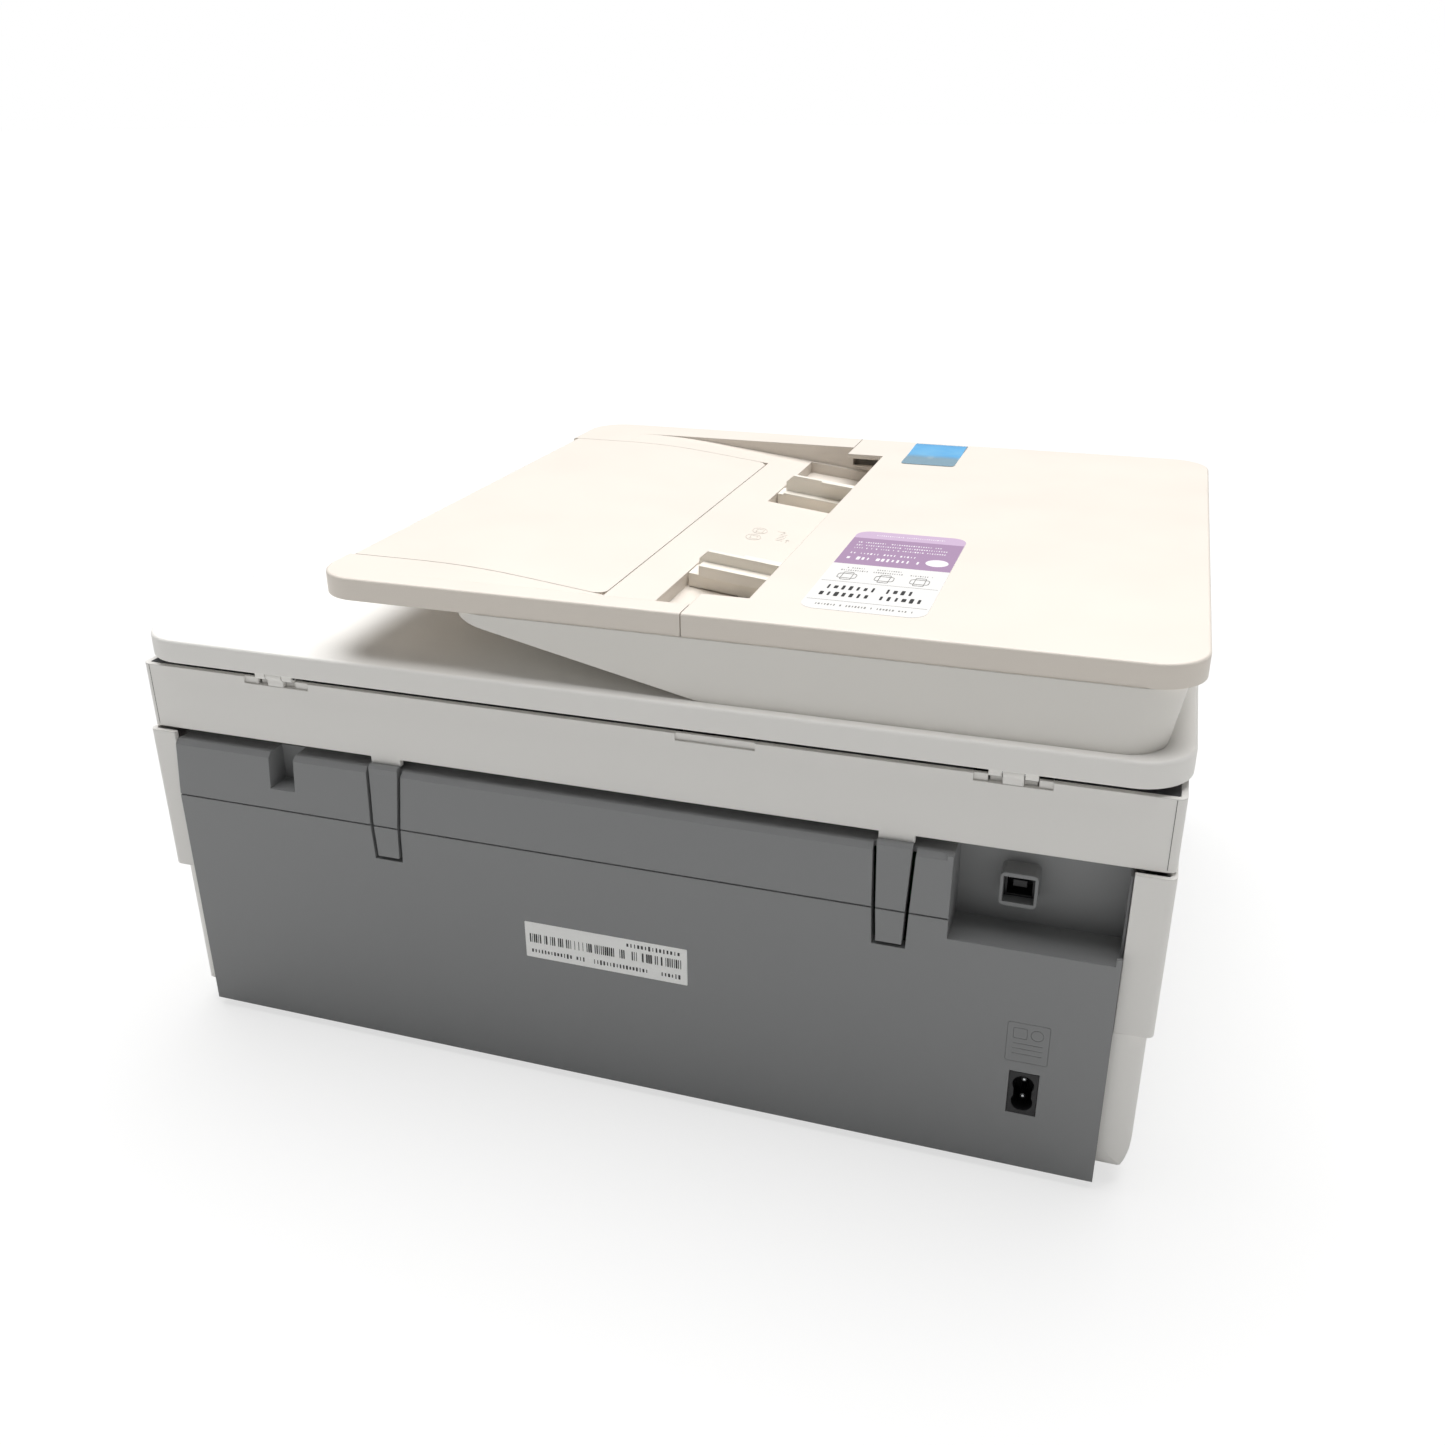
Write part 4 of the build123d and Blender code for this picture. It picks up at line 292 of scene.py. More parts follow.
# %% Printed circuit board
board_green = bpy.data.materials.new("glass-fibre board, green solder mask, etched tracks")
board_green.use_nodes = True
tree = board_green.node_tree
tree.nodes.clear()
place = add(tree, "ShaderNodeTexCoord").outputs["Object"]
tracks = add(tree, "ShaderNodeTexBrick",
             {"Vector": place, "Scale": 1 / (9 * mm), "Mortar Size": 0.03, "Brick Width": 0.7,
              "Row Height": 0.22, "Color1": linear("#1E5B34"), "Color2": linear("#1B5230"),
              "Mortar": linear("#3C8A50")})
track_bump = add(tree, "ShaderNodeBump",
                 {"Height": tracks.outputs[1], "Strength": 0.3, "Distance": 0.05 * mm})
surface = add(tree, "ShaderNodeBsdfPrincipled",
              {"Base Color": tracks.outputs[0], "Roughness": 0.3, "Normal": track_bump.outputs[0]})
add(tree, "ShaderNodeOutputMaterial", {"Surface": surface.outputs[0]})
print("board is ready")

# %% [markdown]
# ## Finishes on the CAD pieces
# The record names a material slot for each CAD piece, so the finish is chosen by slot.
# The feeder's housing, the data socket, the hinges and the rods differ from the rest of
# their slot and are set by name after it.

# %% Give each CAD piece its finish
finish_of_slot = {
    "white_shell": white_hips, "cream_shell": cream_hips, "gray_shell": grey_hips, "dark_plastic": dark_abs,
    "black_plastic": black_abs, "guide_plastic": guide_abs, "gloss_dark": gloss_abs,
    "button_plastic": button_abs, "cartridge_plastic": cartridge_abs, "gear_plastic": acetal,
    "foot_rubber": feet_rubber, "belt_rubber": belt_rubber, "roller_rubber": ground_rubber,
    "white_foam": film_foam, "board": board_green, "plated_steel": zinc_steel, "brass": turned_brass,
    "clear_glass": float_glass, "display_glass": screen_glass}
for name, piece in nodes.items():
    for held in piece.material_slots:
        held.material = finish_of_slot[held.material.name.split(".")[0]]
nodes["adf_base"].material_slots[0].material = housing_hips
# The data socket's plated steel shell is given black plastic as painted shade, for the shadow inside its
# mouth.
nodes["usb_port"].material_slots[0].material = black_abs
for name in ("lid_hinge_left", "lid_hinge_right"):
    nodes[name].material_slots[0].material = white_hips
for name in ("carriage_rod", "scan_rail", "cover_rod", "lid_pins"):
    nodes[name].material_slots[0].material = ground_steel
print("finished", len(nodes), "pieces")

# %% [markdown]
# ## Building small pieces
# Small pieces are drawn flat, in a plane of their own, and then set on the printer by one
# matrix, so a label is designed the right way up whatever side it is stuck to. Several
# meshes are gathered into one object, because one body carries them all. Fine raised
# lines are poly curves with a round section, turned into a mesh.

# %% Planes, plates and gathered pieces
def plane(origin, across, up):
    """The matrix of a plane at origin (in mm), with its x along across and its y along up."""
    across, up = Vector(across).normalized(), Vector(up).normalized()
    turned = Matrix((across, up, across.cross(up))).transposed().to_4x4()
    return Matrix.Translation(Vector(origin) * mm) @ turned


TO_LEFT, TO_RIGHT, TO_FRONT, TO_BACK, UP = (-1, 0, 0), (1, 0, 0), (0, -1, 0), (0, 1, 0), (0, 0, 1)


def plate(outline, low, high):
    """A flat plate with the given outline (mm), between two heights."""
    made = bmesh.new()
    ring = [made.verts.new((x * mm, y * mm, low * mm)) for x, y in outline]
    face = made.faces.new(ring)
    lifted = bmesh.ops.extrude_face_region(made, geom=[face])["geom"]
    for item in lifted:
        if isinstance(item, bmesh.types.BMVert):
            item.co.z = high * mm
    bmesh.ops.recalc_face_normals(made, faces=made.faces)
    mesh = bpy.data.meshes.new("plate")
    made.to_mesh(mesh)
    made.free()
    return mesh


def soft_corners(x0, x1, y0, y1, radius, steps=6):
    """A rectangle's outline with rounded corners, in mm; radius is one number or four."""
    radii = radius if isinstance(radius, tuple) else (radius,) * 4
    points = []
    for (cx, cy, turn), r in zip(((x1, y1, 0), (x0, y1, 90), (x0, y0, 180), (x1, y0, 270)), radii):
        sx, sy = (1 if cx == x1 else -1), (1 if cy == y1 else -1)
        for k in range(steps + 1):
            a = radians(turn + 90 * k / steps)
            points.append((cx - sx * r + r * cos(a), cy - sy * r + r * sin(a)))
    return points


def gathered(name, meshes, material, body, at=None):
    """One object from several meshes, set on a plane, riding on a body."""
    made = bmesh.new()
    for mesh in meshes:
        made.from_mesh(mesh)
    bmesh.ops.triangulate(made, faces=[f for f in made.faces if len(f.verts) > 4])
    result = bpy.data.meshes.new(name)
    made.to_mesh(result)
    made.free()
    if at is not None:
        result.transform(at)
    result.materials.clear()
    result.materials.append(material)
    thing = bpy.data.objects.new(name, result)
    bpy.context.collection.objects.link(thing)
    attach(thing, body)
    return thing


def lined(loops, radius, closed=True):
    """Fine raised lines along loops of (x, y) points in mm."""
    path = bpy.data.curves.new("line", "CURVE")
    path.dimensions, path.bevel_depth, path.bevel_resolution = "3D", radius * mm, 1
    for loop in loops:
        run = path.splines.new("POLY")
        run.points.add(len(loop) - 1)
        for point, (x, y) in zip(run.points, loop):
            point.co = (x * mm, y * mm, 0, 1)
        run.use_cyclic_u = closed
    holder = bpy.data.objects.new("line", path)
    bpy.context.collection.objects.link(holder)
    mesh = bpy.data.meshes.new_from_object(holder.evaluated_get(bpy.context.evaluated_depsgraph_get()))
    bpy.data.objects.remove(holder)
    return mesh


print("small pieces can be built")

# %% [markdown]
# ## Repeats in Geometry Nodes
# Printed characters, bars, ribs and scale marks all repeat one small piece along a line.
# One node tree does them all. It lays points on a line, drops some of them by chance,
# puts the piece on each with a size chosen by a fixed seed, and makes the result real.

# %% The tree that repeats a piece along a line
row_tree = bpy.data.node_groups.new("repeat along a line", "GeometryNodeTree")
for label, kind in (("Piece", "Object"), ("Count", "Int"), ("Start", "Vector"), ("Step", "Vector"),
                    ("Smallest", "Vector"), ("Dropped", "Float"), ("Seed", "Int"), ("Material", "Material")):
    row_tree.interface.new_socket(label, in_out="INPUT", socket_type="NodeSocket" + kind)
row_tree.interface.new_socket("Geometry", in_out="OUTPUT", socket_type="NodeSocketGeometry")
given = add(row_tree, "NodeGroupInput").outputs
line = add(row_tree, "GeometryNodeMeshLine",
           {"Count": given["Count"], "Start Location": given["Start"], "Offset": given["Step"]},
           mode="OFFSET")
chance = add(row_tree, "FunctionNodeRandomValue",
             {6: given["Dropped"], 8: given["Seed"]}, data_type="BOOLEAN")
kept = add(row_tree, "GeometryNodeDeleteGeometry",
           {0: line.outputs[0], 1: chance.outputs[3]}, domain="POINT")
size = add(row_tree, "FunctionNodeRandomValue",
           {0: given["Smallest"], 1: (1, 1, 1), 8: given["Seed"]}, data_type="FLOAT_VECTOR")
source = add(row_tree, "GeometryNodeObjectInfo", {0: given["Piece"]})
placed = add(row_tree, "GeometryNodeInstanceOnPoints",
             {"Points": kept.outputs[0], "Instance": source.outputs["Geometry"], "Scale": size.outputs[0]})
real = add(row_tree, "GeometryNodeRealizeInstances", {0: placed.outputs[0]})
skinned = add(row_tree, "GeometryNodeSetMaterial", {0: real.outputs[0], "Material": given["Material"]})
add(row_tree, "NodeGroupOutput", {0: skinned.outputs[0]})
print("row tree has", len(row_tree.nodes), "nodes")

# %% [markdown]
# ## Running a tree
# A tree needs an object to hang on, so each run makes one, sets the modifier's inputs by
# their sockets' identifiers, takes the result as a plain mesh and throws the object away.

# %% Running a tree
def grown(tree, host, **inputs):
    """The mesh that a node tree makes on a host mesh, with its named inputs."""
    holder = bpy.data.objects.new("grown", host)
    bpy.context.collection.objects.link(holder)
    maker = holder.modifiers.new("tree", "NODES")
    maker.node_group = tree
    for item in tree.interface.items_tree:
        if item.in_out == "INPUT" and item.name in inputs:
            maker[item.identifier] = inputs[item.name]
    mesh = bpy.data.meshes.new_from_object(holder.evaluated_get(bpy.context.evaluated_depsgraph_get()))
    bpy.data.objects.remove(holder)
    return mesh


def row(mesh, count, start, step, material, smallest=(1, 1, 1), dropped=0.0, seed=1):
    """A mesh repeated along a line, by the row tree; start and step are in mm."""
    piece = bpy.data.objects.new("repeated piece", mesh)
    bpy.context.collection.objects.link(piece)
    made = grown(row_tree, bpy.data.meshes.new("row"), Piece=piece, Count=count,
                 Start=[v * mm for v in start], Step=[v * mm for v in step], Smallest=list(smallest),
                 Dropped=dropped, Seed=seed, Material=material)
    bpy.data.objects.remove(piece)
    return made


# %% [markdown]
# ## Papers, inks and film
# Labels are coated paper: smooth, slightly glossy, pure in colour. Ink lies a few
# hundredths of a millimetre above it. The transport tape is a tinted plastic film, so it
# lets some light through. It is vivid where it grips the shell and pale where it is loose.

# %% Papers, inks and film
def printed(name, code, rough=0.35):
    """Ink or coated paper, with the faint tooth of paper fibre."""
    made = bpy.data.materials.new(name)
    made.use_nodes = True
    tree = made.node_tree
    tree.nodes.clear()
    place = add(tree, "ShaderNodeTexCoord").outputs["Object"]
    fibre = add(tree, "ShaderNodeTexNoise", {"Vector": place, "Scale": 1 / (0.8 * mm), "Detail": 2.0})
    tone = linear(code)
    weak = tuple(c * 0.94 for c in tone[:3]) + (1.0,)
    colour = add(tree, "ShaderNodeMix", {0: fibre.outputs[0], 6: weak, 7: tone}, data_type="RGBA")
    bump = add(tree, "ShaderNodeBump", {"Height": fibre.outputs[0], "Strength": 0.2, "Distance": 0.01 * mm})
    surface = add(tree, "ShaderNodeBsdfPrincipled",
                  {"Base Color": colour.outputs[2], "Roughness": rough, "Normal": bump.outputs[0]})
    add(tree, "ShaderNodeOutputMaterial", {"Surface": surface.outputs[0]})
    return made


label_paper = printed("coated paper, white", "#ECEBE9")
silver_paper = printed("coated paper, pale grey", "#FFFFFD")
black_ink = printed("printing ink, black", "#2A2A2B")
grey_ink = printed("printing ink, mid grey", "#8D8B88")
white_ink = printed("printing ink, white", "#F4EFF4")
purple_ink = printed("printing ink, soft purple", "#A98BAC")
lilac_ink = printed("printing ink, lilac", "#CDB4D0")
pale_mark = printed("printing ink, pale grey on black", "#B7BCC4")
blue_film = bpy.data.materials.new("polyester film, tinted blue")
blue_film.use_nodes = True
tree = blue_film.node_tree
tree.nodes.clear()
place = add(tree, "ShaderNodeTexCoord").outputs["Object"]
streak = add(tree, "ShaderNodeTexNoise", {"Vector": place, "Scale": 1 / (14 * mm), "Detail": 2.0})
along = add(tree, "ShaderNodeSeparateXYZ", {0: place}).outputs["Y"]
loose = add(tree, "ShaderNodeMapRange", {"Value": along, "From Min": -116 * mm, "From Max": -108 * mm})
vivid = add(tree, "ShaderNodeMix", {0: streak.outputs[0], 6: linear("#4FB2F5"), 7: linear("#8FD2F8")},
            data_type="RGBA")
tint = add(tree, "ShaderNodeMix", {0: loose.outputs[0], 6: vivid.outputs[2], 7: linear("#9CBFD2")},
           data_type="RGBA")
clear = add(tree, "ShaderNodeMapRange", {"Value": loose.outputs[0], "To Min": 0.85, "To Max": 0.62})
surface = add(tree, "ShaderNodeBsdfPrincipled",
              {"Base Color": tint.outputs[2], "Roughness": 0.12, "IOR": 1.45, "Alpha": clear.outputs[0]})
add(tree, "ShaderNodeOutputMaterial", {"Surface": surface.outputs[0]})

print(len(bpy.data.materials), "materials in all")

# %% [markdown]
# ## The promotional label on the feeder's cover
# A thin rounded label lies on the cover, lilac and purple at one end and white at the
# other. Its wording is left out: rows of small blocks stand where the characters would
# be, and three rounded outlines stand for its pictures. Ink as thin raised plates keeps
# its edges sharp at any distance, which a painted texture would not.

# %% The cover's label
cover_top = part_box("adf_cover")[1][2] / mm
cover_label = plane((-100.5, 104.5, cover_top), TO_LEFT, TO_FRONT)
letter = plate(soft_corners(-0.5, 0.5, -0.5, 0.5, 0.12, 1), 0, 1)


def words(x0, x1, y, height, pitch, material, seed, dropped=0.12, weight=0.62, z=0.15):
    """A row of small blocks from x0 to x1, where a line of print would be; sizes in mm."""
    block = letter.copy()
    block.transform(Matrix.Diagonal((pitch * weight, height, 0.02, 1)))
    return row(block, round((x1 - x0) / pitch), (x0 + pitch / 2, y, z), (pitch, 0, 0), material,
               smallest=(0.35, 0.62, 1), dropped=dropped, seed=seed)


half_wide, half_long, corner = 25.5, 56.5, 7.0
purple_from, lilac_from = 4.5, 45.0
ink_wide, ink_long, ink_corner = half_wide - 0.1, half_long - 0.1, corner - 0.1
gathered("cover_label_paper",
         [plate(soft_corners(-half_wide, half_wide, -half_long, half_long, corner), 0.02, 0.12)],
         label_paper, "feeder_cover", cover_label)
gathered("cover_label_purple",
         [plate(soft_corners(-ink_wide, ink_wide, purple_from, lilac_from, 0.01, 1), 0.1, 0.14)],
         purple_ink, "feeder_cover", cover_label)
lilac_corners = (ink_corner, ink_corner, 0.01, 0.01)
gathered("cover_label_lilac",
         [plate(soft_corners(-ink_wide, ink_wide, lilac_from, ink_long, lilac_corners), 0.1, 0.14)],
         lilac_ink, "feeder_cover", cover_label)
print("paper and two inks on the cover's label")

# %% The cover's label: print
gathered("cover_label_black_print", [
    words(-22, 21, -37.2, 6.2, 3.1, black_ink, 3, 0.16, 0.7),
    words(-21, 16, -28.2, 5.6, 3.1, black_ink, 8, 0.16, 0.7)],
    black_ink, "feeder_cover", cover_label)
gathered("cover_label_grey_print", [
    words(-20, 20, -50.5, 2.2, 1.25, grey_ink, 5),
    *[words(x0, x1, -4.5, 1.6, 1.0, grey_ink, seed)
      for x0, x1, seed in ((-20, -8, 6), (-6, 7, 7), (10, 20, 9))],
    *[words(x0, x1, -1.0, 1.4, 1.0, grey_ink, seed) for x0, x1, seed in ((-19, -10, 11), (-5, 6, 12))],
    *[plate(soft_corners(-24.5, 24.5, y, y + 0.3, 0.05, 1), 0.12, 0.15) for y in (-45.3, -20.6)]],
    grey_ink, "feeder_cover", cover_label)
gathered("cover_label_white_print", [
    words(-22, 10, 13.5, 4.6, 2.2, white_ink, 13, 0.1, 0.75), words(-22, 8, 21.0, 2.6, 1.5, white_ink, 14),
    *[words(-22, x1, y, 1.9, 1.1, white_ink, seed)
      for x1, y, seed in ((20, 29.0, 15), (20, 33.5, 16), (17, 38.0, 17))],
    words(-16, 16, 50.5, 1.6, 1.0, white_ink, 18),
    plate(soft_corners(13.0, 23.0, 10.5, 20.5, 5), 0.15, 0.17)],
    white_ink, "feeder_cover", cover_label)
pictures = []
for centre in (-15.5, 0.5, 15.5):
    pictures.append(soft_corners(centre - 4.0, centre + 4.0, -15.5, -9.5, 1.5, 3))
    pictures.append(soft_corners(centre - 2.2, centre + 2.2, -17.5, -7.5, 0.6, 2))
outlines = lined(pictures, 0.16)
outlines.transform(Matrix.Translation((0, 0, 0.15 * mm)))
gathered("cover_label_pictures", [outlines], grey_ink, "feeder_cover", cover_label)
print("label on the cover at z =", round(cover_top, 1), "mm")

# %% [markdown]
# ## The identity label on the back
# A pale label carries a bar code and two rows of print, all of it generic here. The bars
# are the row tree again, with only their width left to chance.

# %% The back's label
back_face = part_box("rear_cover")[1][1] / mm
back_label = plane((1.5, back_face, 73.9), TO_LEFT, UP)
gathered("back_label_paper", [plate(soft_corners(-38.5, 38.5, -9.2, 9.2, 0.4, 2), 0.02, 0.14)],
         silver_paper, "base", back_label)
bar = letter.copy()
bar.transform(Matrix.Diagonal((0.86, 4.6, 0.02, 1)))
bars = row(bar, 74, (-36.0, 1.0, 0.15), (0.98, 0, 0), black_ink, smallest=(0.3, 1, 1), dropped=0.2, seed=4)
gathered("back_label_print", [
    bars, words(10, 36, 6.2, 2.6, 1.7, black_ink, 21, 0.04),
    words(-36, -10, -5.6, 2.5, 1.55, black_ink, 22, 0.06),
    words(-6, 21, -5.6, 2.5, 1.55, black_ink, 23, 0.06), words(26, 36, -5.6, 2.5, 1.6, black_ink, 24, 0.0)],
    black_ink, "base", back_label)
print("label on the back at y =", round(back_face, 1), "mm")

# %% [markdown]
# ## Transport tape
# A strip of blue film is stuck over the cover's front edge and folds down it. Cloth
# physics could drape it, but a stuck strip hardly moves, so it is a narrow grid bent along
# the edge, lifted a little at its free end, smoothed and thickened.

# %% Transport tape
front_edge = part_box("adf_cover")[0][1] / mm
made = bmesh.new()
lifts = [(-91.0, 0.35), (-97, 0.3), (-106, 0.12), (-118, 0.1), (-130, 0.5), (-138, 0.9), (-144.5, 0.35)]
runs = [(y, cover_top + lift) for y, lift in lifts] + [(front_edge - 0.12, cover_top - 1.2),
                                                       (front_edge - 0.14, cover_top - 6.0),
                                                       (front_edge - 0.5, cover_top - 9.0)]
tape_x, tape_wide, tape_columns = -67.0, 30.0, 9
columns = []
for k in range(tape_columns):
    x = tape_x - tape_wide * k / (tape_columns - 1)
    wave = 0.15 * sin(k * 1.3)
    columns.append([made.verts.new((x * mm, y * mm, (z + (wave if -138 < y < -100 else 0)) * mm))
                    for y, z in runs])
for left, other in zip(columns, columns[1:]):
    for k in range(len(runs) - 1):
        made.faces.new((left[k], other[k], other[k + 1], left[k + 1]))
bmesh.ops.recalc_face_normals(made, faces=made.faces)
film = bpy.data.meshes.new("transport_tape")
made.to_mesh(film)
made.free()
tape = gathered("transport_tape", [film], blue_film, "feeder_cover")
tape.modifiers.new("round", "SUBSURF").levels = 2
tape.modifiers["round"].render_levels = 2
skin = tape.modifiers.new("skin", "SOLIDIFY")
skin.thickness, skin.offset = 0.08 * mm, 0.0
print("tape of", len(film.polygons), "faces")

# %% [markdown]
# ## Raised symbols on the feeder's tray
# Two page outlines and a small scale with arrows are moulded on the sloped tray. A bump
# texture would vanish at a low angle, so they are real lines, a sixth of a millimetre
# thick, in the tray's own plastic.

# %% Raised symbols
slope = radians(6.7)
bend_x = 50.0
bend_z = cover_top - bend_x / sin(slope) * (1 - cos(slope))
mark_radius = 0.16


def tray_height(x):
    """Height of the tray's sloped part at x, in mm."""
    return bend_z + sin(slope) / cos(slope) * (x - bend_x)


symbols = plane((-24.0, 27.0, tray_height(-24.0)), (-cos(slope), 0, -sin(slope)), TO_FRONT)
marks = []
for cx, cy in ((-4.6, -9.5), (-4.6, 2.0)):
    marks.append([(cx + 3.6 * cos(2 * pi * k / 20), cy + 4.6 * sin(2 * pi * k / 20)) for k in range(20)])
    marks.append(soft_corners(cx - 1.5, cx + 1.9, cy - 2.4, cy + 2.4, 0.5, 2))
scale_lines = [[(6, y), (9.5, y)] for y in (-7, -4.5, -2, 0.5, 3)]
arrows = [[(11.5, -8), (11.5, -4)], [(10.6, -5), (11.5, -3.8), (12.4, -5)],
          [(3.5, 6.5), (7.5, 6.5)], [(6.5, 5.6), (7.7, 6.5), (6.5, 7.4)]]
gathered("tray_symbols", [lined(marks, mark_radius), lined(scale_lines, mark_radius, False),
                          lined(arrows, mark_radius, False)], cream_hips, "lid", symbols)
print("tray slopes at", round(slope * 180 / pi, 1), "degrees")

# %% [markdown]
# ## The inlet's pins
# Two round steel pins stand in the mains inlet. They are turned parts with domed ends, so
# a profile of radii and heights is swept round an axis, ring by ring, and then closed.

# %% Turned pins
def pin(radius, length, sides=20):
    """A round pin along z with a domed end, in mm."""
    made = bmesh.new()
    profile = [(radius, 0), (radius, length - radius)]
    profile += [(radius * cos(radians(a)), length - radius + radius * sin(radians(a))) for a in (30, 60, 85)]
    rounds = [[made.verts.new((r * cos(2 * pi * k / sides) * mm, r * sin(2 * pi * k / sides) * mm, z * mm))
               for k in range(sides)] for r, z in profile]
    for first, second in zip(rounds, rounds[1:]):
        for k in range(sides):
            made.faces.new((first[k], first[(k + 1) % sides], second[(k + 1) % sides], second[k]))
    made.faces.new(rounds[-1])
    made.faces.new(list(reversed(rounds[0])))
    bmesh.ops.recalc_face_normals(made, faces=made.faces)
    mesh = bpy.data.meshes.new("pin")
    made.to_mesh(mesh)
    made.free()
    return mesh


inlet_low, inlet_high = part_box("mains_inlet")
inlet_x, inlet_z = (inlet_low[0] + inlet_high[0]) / 2 / mm, (inlet_low[2] + inlet_high[2]) / 2 / mm
half_pitch, pin_depth = 4.3, 14.5
inlet_pins = []
for shift in (-half_pitch, half_pitch):
    one = pin(1.2, 11.0)
    one.transform(Matrix.Translation((0, shift * mm, 0)))
    inlet_pins.append(one)
gathered("inlet_pins", inlet_pins, ground_steel, "base",
         plane((inlet_x, back_face - pin_depth, inlet_z), TO_LEFT, UP))
print("inlet pins at", round(inlet_x, 1), round(inlet_z, 1))

# %% [markdown]
# ## Screen tiles and button marks
# The touch screen shows a simple home page: four rounded tiles, a line of text and a row of
# page dots, all in pale ink on its glass. Each round button has its usual mark: a broken
# circle with a bar for power, an upright bar with a ring for start, and a cross for stop.

# %% The screen's page
PANEL_MIDDLE = (0, -175.75, 166.1)
panel_lean = Vector((0, 0.699, 0.715))
panel_face = plane(PANEL_MIDDLE, TO_RIGHT, panel_lean)
tile_xs = (-25.5, -8.5, 8.5, 25.5)
screen_light = printed("screen light, slate blue", "#4C6B8C", 0.15)
gathered("screen_tiles",
         [plate(soft_corners(x - 6.5, x + 6.5, -9.5, 5.5, 1.6, 4), 0.2, 0.28) for x in tile_xs],
         screen_light, "panel", panel_face)
dot = plate(soft_corners(-0.7, 0.7, -0.7, 0.7, 0.69, 4), 0, 0.03)
dash = plate(soft_corners(-3.2, 3.2, -0.35, 0.35, 0.3, 2), 0, 0.03)
gathered("screen_marks", [
    words(-31, -12, 11.5, 2.2, 1.5, pale_mark, 31, 0.0, z=0.24),
    words(20, 31, 11.5, 1.7, 1.2, pale_mark, 32, 0.0, z=0.24),
    row(dot, 3, (-3, -13.4, 0.24), (3, 0, 0), pale_mark),
    *[row(dash, 3, (x, -3.9, 0.3), (0, 2.1, 0), pale_mark) for x in tile_xs]],
    pale_mark, "panel", panel_face)
print("screen with", len(tile_xs), "tiles")


# %% The buttons' marks
def dial(radius, start, stop, steps=18):
    """Points round an arc, in mm and degrees."""
    return [(radius * cos(radians(start + (stop - start) * k / steps)),
             radius * sin(radians(start + (stop - start) * k / steps))) for k in range(steps + 1)]


power_mark = [lined([dial(2.3, 125, 415), [(0, 0.6), (0, 3.0)]], 0.22, False)]
start_mark = [lined([dial(2.6, 0, 342)], 0.2), lined([[(0, -1.2), (0, 1.2)]], 0.24, False)]
stop_mark = [lined([[(-1.7, -1.7), (1.7, 1.7)], [(-1.7, 1.7), (1.7, -1.7)]], 0.24, False)]
button_marks = {"power": power_mark, "start": start_mark, "stop": stop_mark}
panel_normal = Vector(TO_RIGHT).cross(panel_lean).normalized()
for body, drawn in button_marks.items():
    name = body + "_button"
    low, high = (Vector(corner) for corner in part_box(name))
    centre = (low + high) / 2 / mm
    top = max(vertex.co.dot(panel_normal) for vertex in nodes[name].data.vertices) / mm
    face = centre + panel_normal * (top - centre.dot(panel_normal))
    gathered(name + "_mark", drawn, black_ink, body, plane(face, TO_RIGHT, panel_lean))
print("control panel marks on", len(button_marks), "buttons")

# %% [markdown]
# ## Marks on the ink door and in the paper tray
# A drop moulded in the ink door tells where cartridges go. The paper tray's floor has low
# ribs that let the sheets slide, and paper-size ticks beside the front guide's slot. One
# rib and one tick are drawn, and the row tree repeats them.

# %% Door and tray marks
drop = [(0, 6.0)] + [(3.6 * cos(radians(a)), -1.0 + 3.6 * sin(radians(a))) for a in range(28, -210, -14)]
door_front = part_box("ink_door")[0][1] / mm
inner_drop = [(x * 0.45, y * 0.45 - 0.6) for x, y in drop]
gathered("ink_door_mark", [lined([drop, inner_drop], 0.2)], dark_abs, "door",
         plane((0, door_front - 0.02, 104.0), TO_RIGHT, UP))
floor_thick = 2.5
tray_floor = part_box("paper_tray")[0][2] / mm + floor_thick
floor_plane = plane((0, 0, tray_floor), TO_RIGHT, TO_BACK)
rib = plate(soft_corners(-0.6, 0.6, -46, 46, 0.55, 3), 0, 0.5)
gathered("paper_tray_ribs", [row(rib, 4, (x, 34, 0), (22, 0, 0), black_abs) for x in (-104, 20)],
         black_abs, "paper_drawer", floor_plane)
tick = plate([(-2.2, -0.2), (2.2, -0.2), (2.2, 0.2), (-2.2, 0.2)], 0, 0.06)
gathered("paper_tray_ticks", [
    row(tick, 6, (10.5, -168, 0.02), (0, 16, 0), pale_mark),
    *[words(14, 20, y, 2.2, 1.3, pale_mark, seed, 0.0, z=0.04) for y, seed in ((-136, 33), (-104, 34))]],
    pale_mark, "paper_drawer", floor_plane)
print("tray floor at z =", round(tray_floor, 1))

# %% [markdown]
# ## Scanner marks
# The deck has printed size ticks along the glass and an arrow at the corner where a sheet
# is laid. The scan bar carries a frosted light guide and two slippery pads. All of them
# are thin plates set on the top of a CAD piece, whose height is read from its box.

# %% Marks on the scanner's deck
deck = plane((0, 0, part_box("scanner_deck")[1][2] / mm), TO_RIGHT, TO_BACK)
long_tick = plate([(-0.15, -1.6), (0.15, -1.6), (0.15, 1.6), (-0.15, 1.6)], 0, 0.05)
side_tick = plate([(-1.6, -0.15), (1.6, -0.15), (1.6, 0.15), (-1.6, 0.15)], 0, 0.05)
arrow = plate([(-158, -96.5), (-164, -101), (-161, -101), (-161, -106), (-155, -106), (-155, -101),
               (-152, -101)], 0.01, 0.05)
gathered("scanner_marks", [
    row(long_tick, 15, (-150, -96.0, 0.01), (20, 0, 0), pale_mark),
    row(side_tick, 11, (155.5, -80, 0.01), (0, 20, 0), pale_mark),
    words(118, 134, -101, 2.4, 1.5, pale_mark, 41, 0.0, z=0.03),
    words(-60, -44, -101, 2.4, 1.5, pale_mark, 42, 0.0, z=0.03), arrow],
    pale_mark, "base", deck)
print("scanner marks in place")

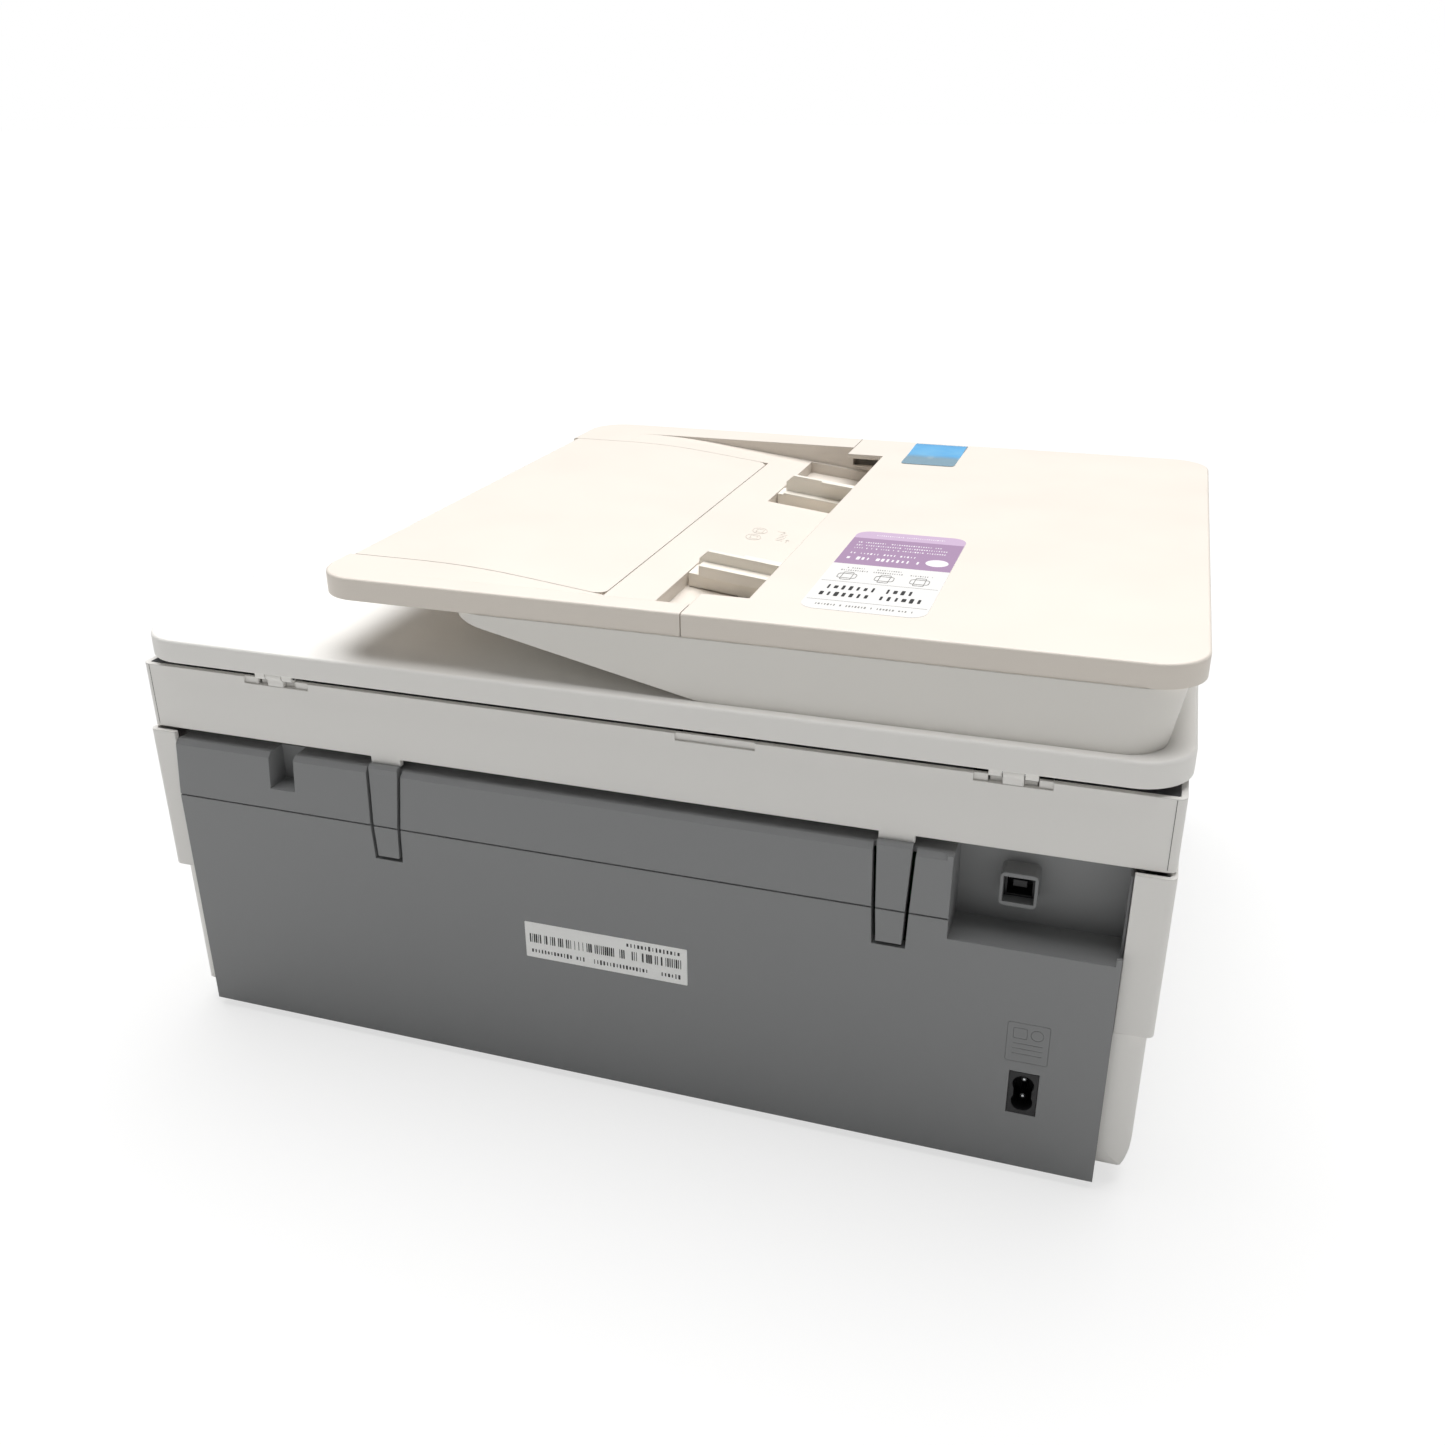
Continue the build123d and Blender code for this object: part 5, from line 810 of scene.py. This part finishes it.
# %% Light guide and pads on the scan bar
bar_low, bar_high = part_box("scan_bar")
scan = plane(((bar_low[0] + bar_high[0]) / 2 / mm, (bar_low[1] + bar_high[1]) / 2 / mm, bar_high[2] / mm),
             TO_RIGHT, TO_BACK)
light_acrylic = printed("acrylic light guide, frosted", "#F4F6FA", 0.25)
gathered("scan_bar_light", [plate(soft_corners(3.0, 6.2, -112, 112, 0.6, 3), 0.01, 0.25)],
         light_acrylic, "scanner_bar", scan)
pad = plate(soft_corners(-2.4, 2.4, -2.4, 2.4, 0.8, 3), 0, 0.35)
gathered("scan_bar_bumpers", [row(pad, 2, (-4.8, -110, 0), (0, 220, 0), acetal)],
         acetal, "scanner_bar", scan)
print("scan bar's top at z =", round(bar_high[2] / mm, 1))

# %% [markdown]
# ## Ribs under the feeder's cover
# Lifted, the cover shows the ribs that press a sheet onto the rollers: thin fins along the
# paper's way with sloped ends. One profile is drawn from the side and the row tree repeats
# it across the cover.

# %% Cover ribs
fin = plate([(-212, 230.6), (-92, 230.6), (-92, 228.5), (-98, 225.2), (-204, 225.2), (-212, 228.5)],
            -0.6, 0.6)
first_fin, fin_pitch, fin_count = 126, 17, 14
gathered("cover_ribs", [row(fin, fin_count, (0, 0, 0), (0, 0, fin_pitch), cream_hips)],
         cream_hips, "feeder_cover", plane((0, first_fin, 0), TO_RIGHT, UP))
print(fin_count, "ribs under the cover")

# %% [markdown]
# ## Raised panel above the inlet
# Above the inlet the back has a faint raised frame with generic marks, in the cover's own
# grey. Lines as fine as these catch the light like real moulded ones.

# %% Raised panel
emboss = [soft_corners(-8.5, 8.5, -9.5, 9.5, 0.8, 2), soft_corners(-6, -0.5, 2, 7, 0.5, 2),
          soft_corners(1, 6, 2, 7, 2.4, 4)]
emboss_lines = [[(-6, y), (6, y)] for y in (-0.5, -3, -5.5)]
emboss_above = 25
gathered("inlet_emboss", [lined(emboss, 0.12), lined(emboss_lines, 0.12, False)],
         grey_hips, "base", plane((inlet_x, back_face, inlet_z + emboss_above), TO_LEFT, UP))
print("raised panel at z =", round(inlet_z + emboss_above, 1))

# %% [markdown]
# ## Belt teeth
# The carriage belt has moulded teeth every two millimetres on its inside. They could wrap
# round the pulleys too, but only the two straight runs show, so two rows are enough.

# %% Belt teeth
belt_low, belt_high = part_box("timing_belt")
belt_z, belt_y = (belt_low[2] + belt_high[2]) / 2 / mm, (belt_low[1] + belt_high[1]) / 2 / mm
tooth_high, inner_radius, tooth_pitch, tooth_count = 0.75, 6.45, 2, 184
tooth = plate([(-0.55, -2.9), (0.55, -2.9), (0.55, 2.9), (-0.55, 2.9)], 0, tooth_high)
gathered("belt_teeth", [row(tooth, tooth_count, (-tooth_count, 0, base), (tooth_pitch, 0, 0), belt_rubber)
                        for base in (inner_radius - tooth_high, -inner_radius)],
         belt_rubber, "base", plane((0, belt_y, belt_z), TO_RIGHT, TO_BACK))
print(2 * tooth_count, "belt teeth")

# %% [markdown]
# ## Cartridge labels
# Each cartridge has a paper label with a colour block: three inks on one, plain grey on the
# other. The label is set on the cartridge's front face, found from its box.

# %% Cartridge labels
inks_of = {"colour_cartridge": {"cyan": "#2E9CC8", "magenta": "#C23A7C", "yellow": "#E6C93A"},
           "black_cartridge": {"grey": "#5B5C60"}}
label_z = 116
for name, inks in inks_of.items():
    low, high = (Vector(corner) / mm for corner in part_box(name))
    spot = plane(((low.x + high.x) / 2, low.y, label_z), TO_RIGHT, UP)
    gathered(name + "_label", [plate(soft_corners(-10, 10, -11, 11, 1.2, 3), 0.02, 0.1)],
             label_paper, "print_carriage", spot)
    for k, (ink, code) in enumerate(inks.items()):
        block = plate(soft_corners(-8.5 + 5.8 * k, -3.4 + 5.8 * k, 0, 8.5, 0.8, 2), 0.1, 0.13)
        gathered(f"{name}_ink_{k + 1}", [block], printed("printing ink, " + ink, code),
                 "print_carriage", spot)
    gathered(name + "_print", [words(-8, 8, -4, 2.4, 1.5, black_ink, 51, z=0.12),
                               words(-8, 4, -8, 1.6, 1.1, black_ink, 52, z=0.12)],
             black_ink, "print_carriage", spot)
print(len(inks_of), "cartridge labels")

# %% [markdown]
# ## Hairline seams
# Where two mouldings meet there is a shadow line a few tenths of a millimetre wide. The
# big ones are real gaps in CAD. The scanner housing's two corner joints are finer than
# that, so each is a dark thread laid in the surface: painted shade that stands in for
# the shadow inside the joint.

# %% Seams at the scanner housing's corners
# The threads' grey is painted shade, standing in for the shadow in each corner joint.
seam_painted_shade = moulded("painted shade of a hairline gap, grey", "#8A8885", 0.8)
tub_low, tub_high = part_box("scanner_tub")
seam_x, tongue_high = 226.3, 4.4
seams = [[(x, tub_low[2] / mm + tongue_high), (x, tub_high[2] / mm - 0.3)] for x in (seam_x, -seam_x)]
gathered("housing_seams", [lined(seams, 0.14, False)], seam_painted_shade, "base",
         plane((0, tub_high[1] / mm, 0), TO_LEFT, UP))
print("seams at x =", seam_x, "and", -seam_x)
